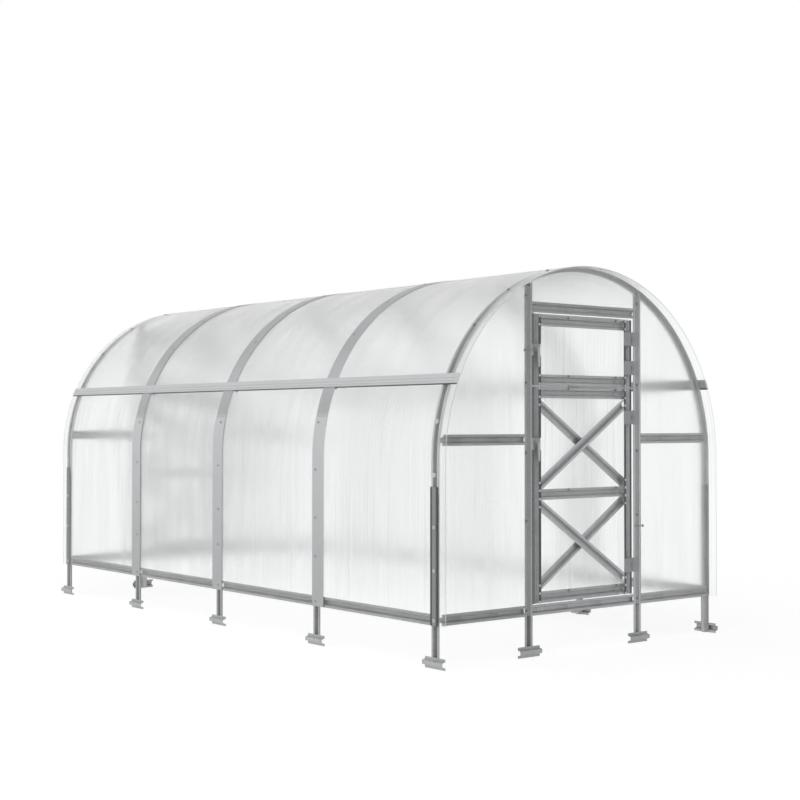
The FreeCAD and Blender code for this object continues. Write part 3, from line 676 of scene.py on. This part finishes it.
clamp_low, clamp_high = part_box("corner_clamps")
leg_y = clamp_high.y - hat_width / 2
flange = (hat_width - SEAL_WIDTH) / 2
seal_x = -clamp_high.x + SEAL_SEAT
foot = at_both_ends([(seal_x, -leg_y + side * flange, clamp_low.z) for side in (-1, 1)])
head = at_both_ends([(seal_x, -leg_y + side * flange, clamp_high.z) for side in (-1, 1)])
outward = at_both_ends([(-1.0, 0.0, 0.0), (-1.0, 0.0, 0.0)])
seal_profile = flat_profile(SEAL_WIDTH, SEAL_THICKNESS, SEAL_EDGE)
dress("clamp_seals", carried(seal_profile, foot, head, (0.0, 1.0, 0.0), outward), rubber)

# Strip seals: black foam between the sheets and the joint strips, cut short at the bands; its lower edge
# shows as a dark line under each strip, which stands for the shadow there: a painted shadow.
JOINT_ANGLE = math.radians(23.7)
STRIP_HALF = 0.0275
BAND_MIDDLES = (-1.023, 0.011, 1.013)
BAND_ROOM = 0.0535
FOAM_WIDTH = 0.0085
FOAM_THICKNESS = 0.0017
FOAM_EDGE = 0.0004
FOAM_GAP = 0.0003
MIRROR = np.array([-1.0, 1.0, 1.0])
outward = np.array([-math.cos(JOINT_ANGLE), 0.0, math.sin(JOINT_ANGLE)])
upward = np.array([math.sin(JOINT_ANGLE), 0.0, math.cos(JOINT_ANGLE)])
seat = outward * (sheet_outer + FOAM_GAP) - upward * STRIP_HALF + np.array([0.0, 0.0, spring_z])
strip_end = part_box("left_joint_strip")[1].y
start_y = np.array([-strip_end] + [middle + BAND_ROOM for middle in BAND_MIDDLES])
end_y = np.array([middle - BAND_ROOM for middle in BAND_MIDDLES] + [strip_end])
starts = seat + start_y[:, None] * np.array([0.0, 1.0, 0.0])
ends = seat + end_y[:, None] * np.array([0.0, 1.0, 0.0])
foam_profile = flat_profile(FOAM_WIDTH, FOAM_THICKNESS, FOAM_EDGE)
# A dark piece as painted shadow under each joint strip.
dress("left_strip_shadow_seals", carried(foam_profile, starts, ends, upward, outward), rubber)
right_shadow_seals = carried(foam_profile, starts * MIRROR, ends * MIRROR, upward * MIRROR, outward * MIRROR)
dress("right_strip_shadow_seals", right_shadow_seals, rubber)

# Post cover strips: flat dull zinc-coated strip let into the mouth of each door post, from the base rail up
# to the arch. It closes the post against the draught at the door's edge.
COVER_ZINC = (0.225, 0.23, 0.233, 1.0)
COVER_WIDTH = 0.0292
COVER_DEPTH = 0.0014
COVER_EDGE = 0.0003
COVER_FOOT_GAP = 0.002
COVER_HEAD_GAP = 0.022
FRONT = np.array([0.0, -1.0, 0.0])
cover_steel = zinc_coated("zinc cover strip", COVER_ZINC, mask_group=end_hollow)
post_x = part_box("door_posts")[1].x - hat_width / 2
cover_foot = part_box("end_base_rails")[0].z + COVER_FOOT_GAP
cover_head = spring_z + math.sqrt((half_span - COVER_HEAD_GAP) ** 2 - (post_x + COVER_WIDTH / 2) ** 2)
foot = at_both_ends([(side * post_x, -end_face + COVER_DEPTH, cover_foot) for side in (-1, 1)])
head = at_both_ends([(side * post_x, -end_face + COVER_DEPTH, cover_head) for side in (-1, 1)])
cover_profile = flat_profile(COVER_WIDTH, COVER_DEPTH - COVER_EDGE, COVER_EDGE)
cover_strips = carried(cover_profile, foot, head, (1.0, 0.0, 0.0), at_both_ends([FRONT, FRONT]))
dress("post_cover_strips", cover_strips, cover_steel)

# Doors and vents: stiles before the sheet with their mouths outwards, flush with the posts, rails and one
# brace of each pair behind it. Rubber is glued along the stiles' flanges, between the hinge and latch
# plates that are riveted to them: a grey lip at the latch edge, which laps the post, and black elsewhere.
STILE_ZINC = (0.30, 0.305, 0.31, 1.0)
# Painted light: the stiles' hollows are drawn brighter than their flanges, against the shade inside them.
STILE_HOLLOW_LIGHT = (0.45, 0.46, 0.465, 1.0)
LEAF_ZINC = (0.44, 0.45, 0.455, 1.0)
# Painted shade: the leaf rails' hollows are drawn a little darker than their flanges.
LEAF_HOLLOW_SHADE = (0.42, 0.43, 0.435, 1.0)
# Painted light: the leaf rails' ends at the hinge stile are drawn brighter, against the stile's shade.
HINGE_END_LIGHT = 1.9
BRACE_ZINC = (0.40, 0.41, 0.415, 1.0)
# Painted light: the brace behind the leaf sheet is drawn brighter than the one before it.
INNER_BRACE_LIGHT = 1.25
LIP_RUBBER = (0.115, 0.117, 0.118)
LIP_LAP = 0.0050
FLANGE_EDGE = 0.0438
LATCH_SEAL_EDGE = 0.0595
HINGE_SEAL_LAP = 0.0015
SEAL_GAP = 0.0002
# Profiles of seal and strip: shares of the width across, and metres outward.
STILE_SEAL = ((0.0, 0.0), (1.0, 0.0), (1.0, 0.0008), (0.96, 0.0012), (0.04, 0.0012), (0.0, 0.0008))
DRAUGHT_STRIP = ((0.0, 0.0), (1.0, 0.0), (1.0, 0.0012), (0.0, 0.0012))
DOOR_STRIP_EDGES = (-0.0030, 0.0090)
VENT_STRIP_EDGES = (-0.0040, 0.0070)
HINGE_HEIGHT = 0.077
HINGE_INSETS = {"door": 0.157, "vent": 0.104}
LATCH_HEIGHT = 0.062
DOOR_LATCH_RISE = 0.8255
leaf_steel = zinc_coated(
    "galvanised leaf rail",
    LEAF_ZINC,
    painted_hollow_zinc=LEAF_HOLLOW_SHADE,
    mask_group=end_hollow,
    hinge_tone=HINGE_END_LIGHT,
)
brace_steel = zinc_coated("galvanised brace", BRACE_ZINC, mask_group=end_hollow, leaf_tone=INNER_BRACE_LIGHT)
stile_steel = zinc_coated("galvanised stile", STILE_ZINC, painted_hollow_zinc=STILE_HOLLOW_LIGHT, mask_group=end_hollow)
lip_rubber = rubber_material("grey lip rubber", LIP_RUBBER)
leaf_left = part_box("front_door_stiles")[0].x
leaf_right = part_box("front_door_stiles")[1].x
lip_edges = (leaf_left - LIP_LAP, leaf_left + SEAL_WIDTH)
latch_edges = (leaf_left + FLANGE_EDGE, leaf_left + LATCH_SEAL_EDGE)
hinge_edges = [
    (leaf_right - hat_width - HINGE_SEAL_LAP, leaf_right - FLANGE_EDGE),
    (leaf_right - SEAL_WIDTH, leaf_right),
]


def between_plates(low, high, middles, plate_height):
    """Stretches of a stile from low to high that are left free by plates of one height at these middles."""
    levels = [low]
    for middle in middles:
        levels += [middle - plate_height / 2, middle + plate_height / 2]
    levels.append(high)
    return list(zip(levels[::2], levels[1::2]))


def stile_seals(runs, turn):
    """Rubber strips before the stiles, each run given as its two edges across and its foot and head: the
    seal's profile, as wide as the run, carried from foot to head."""
    edges = np.array([across for across, _ in runs])
    levels = np.array([stretch for _, stretch in runs])
    face = np.full(len(runs), -end_face - SEAL_GAP)
    foot = np.stack([edges[:, 0], face, levels[:, 0]], -1) * turn
    head = np.stack([edges[:, 0], face, levels[:, 1]], -1) * turn
    wide = (edges[:, 1:] - edges[:, :1]) * np.array([1.0, 0.0, 0.0]) * turn
    return carried(STILE_SEAL, foot, head, wide, FRONT * turn)


for end, turn in END_TURNS.items():
    for leaf in ("door", "vent"):
        coat_nodes(stile_steel, f"{end}_{leaf}_stiles")
        coat_nodes(leaf_steel, f"{end}_{leaf}_rails")
        low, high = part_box(f"{end}_{leaf}_stiles")
        latch_z = low.z + DOOR_LATCH_RISE if leaf == "door" else (low.z + high.z) / 2
        hinge_z = (low.z + HINGE_INSETS[leaf], high.z - HINGE_INSETS[leaf])
        latch_side = between_plates(low.z, high.z, (latch_z,), LATCH_HEIGHT)
        hinge_side = between_plates(low.z, high.z, hinge_z, HINGE_HEIGHT)
        lip_runs = [(lip_edges, stretch) for stretch in latch_side]
        seal_runs = [(latch_edges, stretch) for stretch in latch_side]
        seal_runs += [(edges, stretch) for edges in hinge_edges for stretch in hinge_side]
        lip_seals = stile_seals(lip_runs, turn)
        dress(f"{end}_{leaf}_lip_seals", lip_seals, lip_rubber, f"{end}_{leaf}_leaf")
        seals = stile_seals(seal_runs, turn)
        dress(f"{end}_{leaf}_seals", seals, rubber, f"{end}_{leaf}_leaf")
        low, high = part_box(f"front_{leaf}_sheet")
        if leaf == "door":
            levels = [low.z + edge for edge in DOOR_STRIP_EDGES]
        else:
            levels = [high.z + edge for edge in VENT_STRIP_EDGES]
        foot = np.array([low.x, low.y - SEAL_GAP, levels[0]]) * turn
        head = np.array([low.x, low.y - SEAL_GAP, levels[1]]) * turn
        wide = np.array([high.x - low.x, 0.0, 0.0]) * turn
        strip = carried(DRAUGHT_STRIP, foot, head, wide, FRONT * turn)
        dress(f"{end}_{leaf}_draught_strip", strip, leaf_steel, f"{end}_{leaf}_leaf")
    coat_nodes(brace_steel, f"{end}_door_braces")

# Hinges and latches: pressed plates round a pin, and a lever on a spindle that turns a tongue
# behind the post; zinc plated, smoother than the bars, and the levers drawn a lighter zinc than the other
# fittings.
FITTING_ZINC = (0.25, 0.255, 0.26, 1.0)
LEVER_ZINC = (0.37, 0.377, 0.382, 1.0)
FITTING_COAT = {"metal": 0.5, "crystals": 160.0, "crystal_contrast": 0.06, "bloom_contrast": 0.15}
fitting_steel = zinc_coated("plated fitting", FITTING_ZINC, **FITTING_COAT)
lever_steel = zinc_coated("plated lever", LEVER_ZINC, **FITTING_COAT)
for end in ("front", "rear"):
    coat_nodes(fitting_steel, f"{end}_hinge_pins", f"{end}_post_hinge_leaves")
    for leaf in ("door", "vent"):
        coat_nodes(fitting_steel, f"{end}_{leaf}_fittings")
        coat_nodes(lever_steel, f"{end}_{leaf}_latch")

# Bolts: hexagon heads on round washers, through sheets, bands and clamps into every arch, and smaller
# ones in posts, stiles and rails; bright zinc on the clamps, end arches, thresholds and stiles, darker
# heads on the bands, and dark all over in sheets, posts and rails. Each kind has a washer and a head radius.
WASHER_ZINC = (0.46, 0.47, 0.475, 1.0)
BRIGHT_WASHER = (0.80, 0.81, 0.815, 1.0)
BRIGHT_HEAD = (0.48, 0.49, 0.495, 1.0)
BAND_HEAD = (0.33, 0.338, 0.342, 1.0)
DARK_HEAD = (0.18, 0.185, 0.19, 1.0)
MOTTLE_SCALE = 90.0
BOLT_TONES = (0.85, 1.1)
BOLT_ROUGHNESS = (0.3, 0.45)
BOLT_SIDES = 12
BOLT_SPIN = 2.4
NEAR_UPRIGHT = 0.9
WASHER_SHARE = 0.15
HEAD_SHARE = 0.7
HEAD_SHOULDER = 0.8
HEAD_TOP = 0.82
BAND_BOLT = (0.0075, 0.0055)
SHEET_BOLT = (0.0075, 0.0060)
END_ARCH_BOLT = (0.0110, 0.0055)
CLAMP_BOLT = (0.0085, 0.0055)
POST_BOLT = (0.0070, 0.0055)
THRESHOLD_BOLT = (0.0080, 0.0050)
STILE_BOLT = (0.0060, 0.0036)
RAIL_BOLT = (0.0060, 0.0048)


def bolt_material(name, washer, head):
    """Zinc plate, a little mottled, whose colour turns from washer to head with the piece's attribute."""
    material, tree = new_material(name)
    place = add_node(tree, "ShaderNodeTexCoord").outputs["Object"]
    mottle = add_noise(tree, place, MOTTLE_SCALE, 2.0)
    part = add_node(tree, "ShaderNodeAttribute", attribute_name="head").outputs["Fac"]
    tone = add_ramp(tree, mottle, *GRAIN_RANGE, *BOLT_TONES)
    zinc = add_scaled(tree, add_colour_mix(tree, part, washer, head), tone)
    rough = add_ramp(tree, mottle, *GRAIN_RANGE, *BOLT_ROUGHNESS)
    add_surface(tree, {"Base Color": zinc, "Metallic": BAR_METAL, "Roughness": rough})
    return material


bright_bolt = bolt_material("bright bolt", BRIGHT_WASHER, BRIGHT_HEAD)
band_bolt = bolt_material("dark-headed bolt", WASHER_ZINC, BAND_HEAD)
dark_small_bolt = bolt_material("dark small bolt", DARK_HEAD, DARK_HEAD)


def ring_faces(rows, sides):
    """Corner numbers of a closed round bar of so many rings: its sides in fours, and its two end caps."""
    number = np.arange(rows * sides).reshape(rows, sides)
    after = np.roll(number, -1, 1)
    quads = np.stack([number[:-1], after[:-1], after[1:], number[1:]], -1).reshape(-1, 4)
    caps = np.stack([number[0, ::-1], number[-1]])
    return quads, caps


def bolts(name, places, outward, washer, head, material, body="frame"):
    """Bolts at places along outward directions: rings of radius and height about each axis, every
    second corner of the head drawn in to make it a hexagon, and each bolt turned on from the one before."""
    places = np.atleast_2d(places)
    outward = np.broadcast_to(outward, places.shape)
    plate = WASHER_SHARE * washer
    tall = HEAD_SHARE * head
    radius = np.array([washer, washer, head, head, HEAD_TOP * head])
    height = np.array([0.0, plate, plate, plate + HEAD_SHOULDER * tall, plate + tall])
    hexagon = np.array([0.0, 0.0, 1.0, 1.0, 1.0])
    turn = 2 * math.pi * np.arange(BOLT_SIDES) / BOLT_SIDES
    flat = np.where(np.arange(BOLT_SIDES) % 2, math.cos(math.pi / 6), 1.0)
    ring = radius[:, None] * (1 - hexagon[:, None] + hexagon[:, None] * flat[None, :])
    level = np.where(np.abs(outward[:, 2:]) < NEAR_UPRIGHT, [[0.0, 0.0, 1.0]], [[0.0, 1.0, 0.0]])
    across = np.cross(level, outward)
    across /= np.linalg.norm(across, axis=1, keepdims=True)
    upward = np.cross(outward, across)
    spin = BOLT_SPIN * np.arange(len(places))[:, None, None] + turn[None, None, :]
    points = places[:, None, None, :] + height[None, :, None, None] * outward[:, None, None, :]
    points = points + (ring[None] * np.cos(spin))[..., None] * across[:, None, None, :]
    points = points + (ring[None] * np.sin(spin))[..., None] * upward[:, None, None, :]
    quads, caps = ring_faces(len(radius), BOLT_SIDES)
    first = (np.arange(len(places)) * len(radius) * BOLT_SIDES)[:, None, None]
    sides = (quads[None] + first).reshape(-1, 4).tolist()
    ends = (caps[None] + first).reshape(-1, BOLT_SIDES).tolist()
    piece = dress(name, (points.reshape(-1, 3), sides + ends), material, body)
    on_head = np.tile(np.repeat(hexagon, BOLT_SIDES), len(places)).astype(np.float32)
    piece.data.attributes.new("head", "FLOAT", "POINT").data.foreach_set("value", on_head)


def shell_bolts(radius, heights, degrees, y):
    """Places and outward directions on the left-hand side, at heights on the wall and at angles up the arch:
    each direction times the radius, from the spring line or, on the wall, from its own height."""
    angle = np.radians(np.concatenate([np.zeros(len(heights)), degrees]))
    rise = np.concatenate([np.asarray(heights, float) - spring_z, np.zeros(len(degrees))])
    outward = np.stack([-np.cos(angle), 0 * angle, np.sin(angle)], -1)
    return outward * radius + np.stack([0 * angle, 0 * angle + y, spring_z + rise], -1), outward


def both_sides(sets):
    """All these places and directions, and their mirror images on the other side of the house."""
    places = np.concatenate([place for place, _ in sets])
    outward = np.concatenate([direction for _, direction in sets])
    return np.concatenate([places, places * MIRROR]), np.concatenate([outward, outward * MIRROR])


# Bolts of the shell: through bands, clamps and sheets into the middle of each leg and arch, at heights on
# the walls and at degrees up the arch; those of the joint strips stand beside the bands.
WALL_BOLT_HEIGHTS = (0.236, 0.480, 0.690, 0.950)
WALL_BOLT_DEGREES = (11.0,)
ROOF_BOLT_DEGREES = (42.0, 59.0, 76.0)
STRIP_BOLT_DEGREES = (21.8,)
STRIP_BOLT_SHIFT = 0.086
END_ARCH_BOLT_HEIGHTS = (0.948,)
END_ARCH_BOLT_DEGREES = (11.2,)
CLAMP_BOLT_HEIGHTS = (0.236, 0.479, 0.692)
wall_band_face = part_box("wall_bands")[1].x
roof_band_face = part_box("roof_bands")[1].z - spring_z
arch_y = [(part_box(f"arch_{number}")[0].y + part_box(f"arch_{number}")[1].y) / 2 for number in (2, 3, 4)]
end_arch_y = (-leg_y, leg_y)
band_sets = [shell_bolts(wall_band_face, WALL_BOLT_HEIGHTS, WALL_BOLT_DEGREES, y) for y in arch_y]
band_sets += [shell_bolts(roof_band_face, (), ROOF_BOLT_DEGREES, y) for y in arch_y]
bolts("band_bolts", *both_sides(band_sets), *BAND_BOLT, band_bolt)
sheet_sets = [shell_bolts(sheet_outer, (), STRIP_BOLT_DEGREES, y - STRIP_BOLT_SHIFT) for y in arch_y]
sheet_sets += [shell_bolts(sheet_outer, (), ROOF_BOLT_DEGREES, y) for y in end_arch_y]
bolts("sheet_bolts", *both_sides(sheet_sets), *SHEET_BOLT, dark_small_bolt)
arch_sets = [shell_bolts(sheet_outer, END_ARCH_BOLT_HEIGHTS, END_ARCH_BOLT_DEGREES, y) for y in end_arch_y]
bolts("end_arch_bolts", *both_sides(arch_sets), *END_ARCH_BOLT, bright_bolt)
clamp_sets = [shell_bolts(clamp_high.x, CLAMP_BOLT_HEIGHTS, (), y) for y in end_arch_y]
bolts("clamp_bolts", *both_sides(clamp_sets), *CLAMP_BOLT, bright_bolt)

# Bolts of the ends: on the left post they go through the edge of the sheet, on the right one through the
# cover strip, and two hold the threshold at its left end.
POST_BOLT_HEIGHTS = (1.86, 1.411, 1.05, 0.70, 0.24)
POST_BOLT_SHIFT = 0.0205
THRESHOLD_BOLT_X = (-0.325, -0.300)
THRESHOLD_BOLT_Z = 0.238
THRESHOLD_BOLT_DEPTH = 0.019
sheet_front = -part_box("front_left_sheet")[0].y
post_sides = ((-post_x - POST_BOLT_SHIFT, -sheet_front), (post_x, -end_face))
post_places = [(x, y, z) for x, y in post_sides for z in POST_BOLT_HEIGHTS]
post_outward = at_both_ends([FRONT] * len(post_places))
bolts("post_bolts", at_both_ends(post_places), post_outward, *POST_BOLT, dark_small_bolt)
threshold = [(x, -end_face + THRESHOLD_BOLT_DEPTH, THRESHOLD_BOLT_Z) for x in THRESHOLD_BOLT_X]
bolts("threshold_bolts", threshold, FRONT, *THRESHOLD_BOLT, bright_bolt)
bolts("rear_threshold_bolts", half_turned(threshold), -FRONT, *THRESHOLD_BOLT, bright_bolt)

# Bolts of the leaves: small bright ones on the stiles' inner flanges, where rails and braces meet them,
# and dull ones through the upper flanges of the rails.
BRACE_BOLT_ROOM = 0.035
STILE_BOLT_INSET = 0.0065
STILE_BOLT_LIFT = 0.0014
RAIL_BOLT_DEPTH = 0.0206
RAIL_BOLT_X = (-0.10, 0.265)
inner_edges = (leaf_left + hat_width - STILE_BOLT_INSET, leaf_right - hat_width + STILE_BOLT_INSET)
stile_front = -end_face - STILE_BOLT_LIFT
rail_front = -end_face + RAIL_BOLT_DEPTH
for end, turn in END_TURNS.items():
    for leaf in ("door", "vent"):
        low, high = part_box(f"{end}_{leaf}_rails")
        low_rail = low.z + hat_width / 2
        high_rail = high.z - hat_width / 2
        heights = [low_rail + flange, low_rail - flange, high_rail + flange, high_rail - flange]
        rail_heights = [low_rail + flange, high_rail + flange]
        if leaf == "door":
            middle = (low_rail + high_rail) / 2
            brace = hat_width / 2 + BRACE_BOLT_ROOM
            heights += [middle + flange, middle - flange, middle + brace, middle - brace]
            heights += [low_rail + brace, high_rail - brace]
            rail_heights.append(middle + flange)
        body = f"{end}_{leaf}_leaf"
        stile = np.array([(x, stile_front, z) for z in heights for x in inner_edges]) * turn
        bolts(f"{end}_{leaf}_stile_bolts", stile, FRONT * turn, *STILE_BOLT, bright_bolt, body)
        rail = np.array([(x, rail_front, z) for z in rail_heights for x in RAIL_BOLT_X]) * turn
        bolts(f"{end}_{leaf}_rail_bolts", rail, FRONT * turn, *RAIL_BOLT, dark_small_bolt, body)

# Stay pins: a thin plated rod with a ball end on each door post, screwed on before the end sheet. The door
# or the vent is hooked to it when it stands open.
PIN_RADIUS = 0.0024
PIN_HEAD = 0.0085
PIN_SIDES = 12
PIN_NECK = 0.82
BALL_START = 0.84
BALL_SHARES = (0.0, 0.6, 1.0, 0.6, 0.15)
BALL_LEAST = PIN_RADIUS * 0.4
PIN_LIFT = 0.0045
STAY_PINS = {"door_stay_pin": (0.385, 0.452, 0.638), "vent_stay_pin": (-0.385, -0.452, 1.578)}


def lathe(start, end, lengths, radii):
    """Round bar from start to end: rings of these radii at these shares of the length, with flat ends."""
    axis = end - start
    level = np.cross(axis, [0.0, 0.0, 1.0])
    level = level / np.linalg.norm(level)
    other = np.cross(axis / np.linalg.norm(axis), level)
    turn = 2 * math.pi * np.arange(PIN_SIDES) / PIN_SIDES
    circle = np.cos(turn)[:, None] * level + np.sin(turn)[:, None] * other
    middles = start + np.asarray(lengths)[:, None, None] * axis
    points = middles + np.asarray(radii)[:, None, None] * circle[None]
    quads, caps = ring_faces(len(lengths), PIN_SIDES)
    return points.reshape(-1, 3), quads.tolist() + caps.tolist()


pin_steel = zinc_coated("plated pin", FITTING_ZINC, **FITTING_COAT)
ball = np.maximum(np.array(BALL_SHARES) * PIN_HEAD, BALL_LEAST)
shares = np.concatenate([[0.0, PIN_NECK], np.linspace(BALL_START, 1.0, len(BALL_SHARES))])
radii = np.concatenate([[PIN_RADIUS, PIN_RADIUS], ball])
pin_y = -sheet_front - PIN_LIFT
for name, (inside, outside, z) in STAY_PINS.items():
    for end, turn in END_TURNS.items():
        rod_start = np.array([inside, pin_y, z]) * turn
        rod_end = np.array([outside, pin_y, z]) * turn
        rod = lathe(rod_start, rod_end, shares, radii)
        dress(f"{end}_{name}", rod, pin_steel, smooth_angle=SMOOTH_ANGLE)

# Floor, light and camera: a white ground that keeps the shadow, a sky that is white where the camera,
# gloss and glass see it, and for the rest lights the house softly from the left.
FLOOR_SIZE = 60.0
FLOOR_WHITE = 0.25
FLOOR_DUST = 0.005
DUST_SCALE = 3.0
FLOOR_GLOW = 0.815
SKY_LEVEL = 0.6
SKY_LEAN = 0.8
SKY_LEAST = 0.05
LIGHT_SIDE = (-0.9, -0.2, 0.3)
WHITE = (1.0, 1.0, 1.0, 1.0)
CAMERA_PLACE = (-5.60207, -7.43997, 1.20143)
CAMERA_YAW = 0.67617
CAMERA_PITCH = 0.01606
CAMERA_LENS = 65.282
SENSOR = 36.0

floor_material, tree = new_material("white ground")
place = add_node(tree, "ShaderNodeTexCoord").outputs["Object"]
dust = add_noise(tree, place, DUST_SCALE, 3.0)
white = add_ramp(tree, dust, *GRAIN_RANGE, FLOOR_WHITE - FLOOR_DUST, FLOOR_WHITE + FLOOR_DUST)
ground = add_node(tree, "ShaderNodeBsdfDiffuse", {"Color": white})
glow = add_node(tree, "ShaderNodeEmission", {"Color": WHITE, "Strength": FLOOR_GLOW})
both = add_node(tree, "ShaderNodeAddShader", {0: ground.outputs[0], 1: glow.outputs[0]})
add_node(tree, "ShaderNodeOutputMaterial", {"Surface": both.outputs[0]})
reach = FLOOR_SIZE / 2
corners = np.array([[-reach, -reach, 0], [reach, -reach, 0], [reach, reach, 0], [-reach, reach, 0]])
put_mesh("ground", corners, [[0, 1, 2, 3]], floor_material)

world = bpy.data.worlds.new("studio")
bpy.context.scene.world = world
world.use_nodes = True
tree = world.node_tree
tree.nodes.clear()
direction = add_node(tree, "ShaderNodeTexCoord").outputs["Generated"]
side = np.array(LIGHT_SIDE) / np.linalg.norm(LIGHT_SIDE)
lean = add_node(tree, "ShaderNodeVectorMath", {0: direction, 1: side.tolist()}, operation="DOT_PRODUCT")
level = add_math(tree, "ADD", add_math(tree, "MULTIPLY", lean.outputs["Value"], SKY_LEAN), SKY_LEVEL)
soft = add_math(tree, "MAXIMUM", level, SKY_LEAST)
path = add_node(tree, "ShaderNodeLightPath").outputs
seen = add_math(tree, "MAXIMUM", path["Is Camera Ray"], path["Is Glossy Ray"])
seen = add_math(tree, "MAXIMUM", seen, path["Is Transmission Ray"])
mixed = add_node(tree, "ShaderNodeMix", {"Factor": seen, 2: soft, 3: 1.0}, data_type="FLOAT")
sky = add_node(tree, "ShaderNodeBackground", {"Color": WHITE, "Strength": mixed.outputs[0]})
add_node(tree, "ShaderNodeOutputWorld", {"Surface": sky.outputs[0]})

lens = bpy.data.cameras.new("camera")
lens.lens = CAMERA_LENS
lens.sensor_width = SENSOR
camera = bpy.data.objects.new("camera", lens)
camera.location = CAMERA_PLACE
camera.rotation_euler = (math.pi / 2 + CAMERA_PITCH, 0.0, -CAMERA_YAW)
bpy.context.scene.collection.objects.link(camera)
bpy.context.scene.camera = camera
bpy.context.scene.view_settings.view_transform = "Standard"
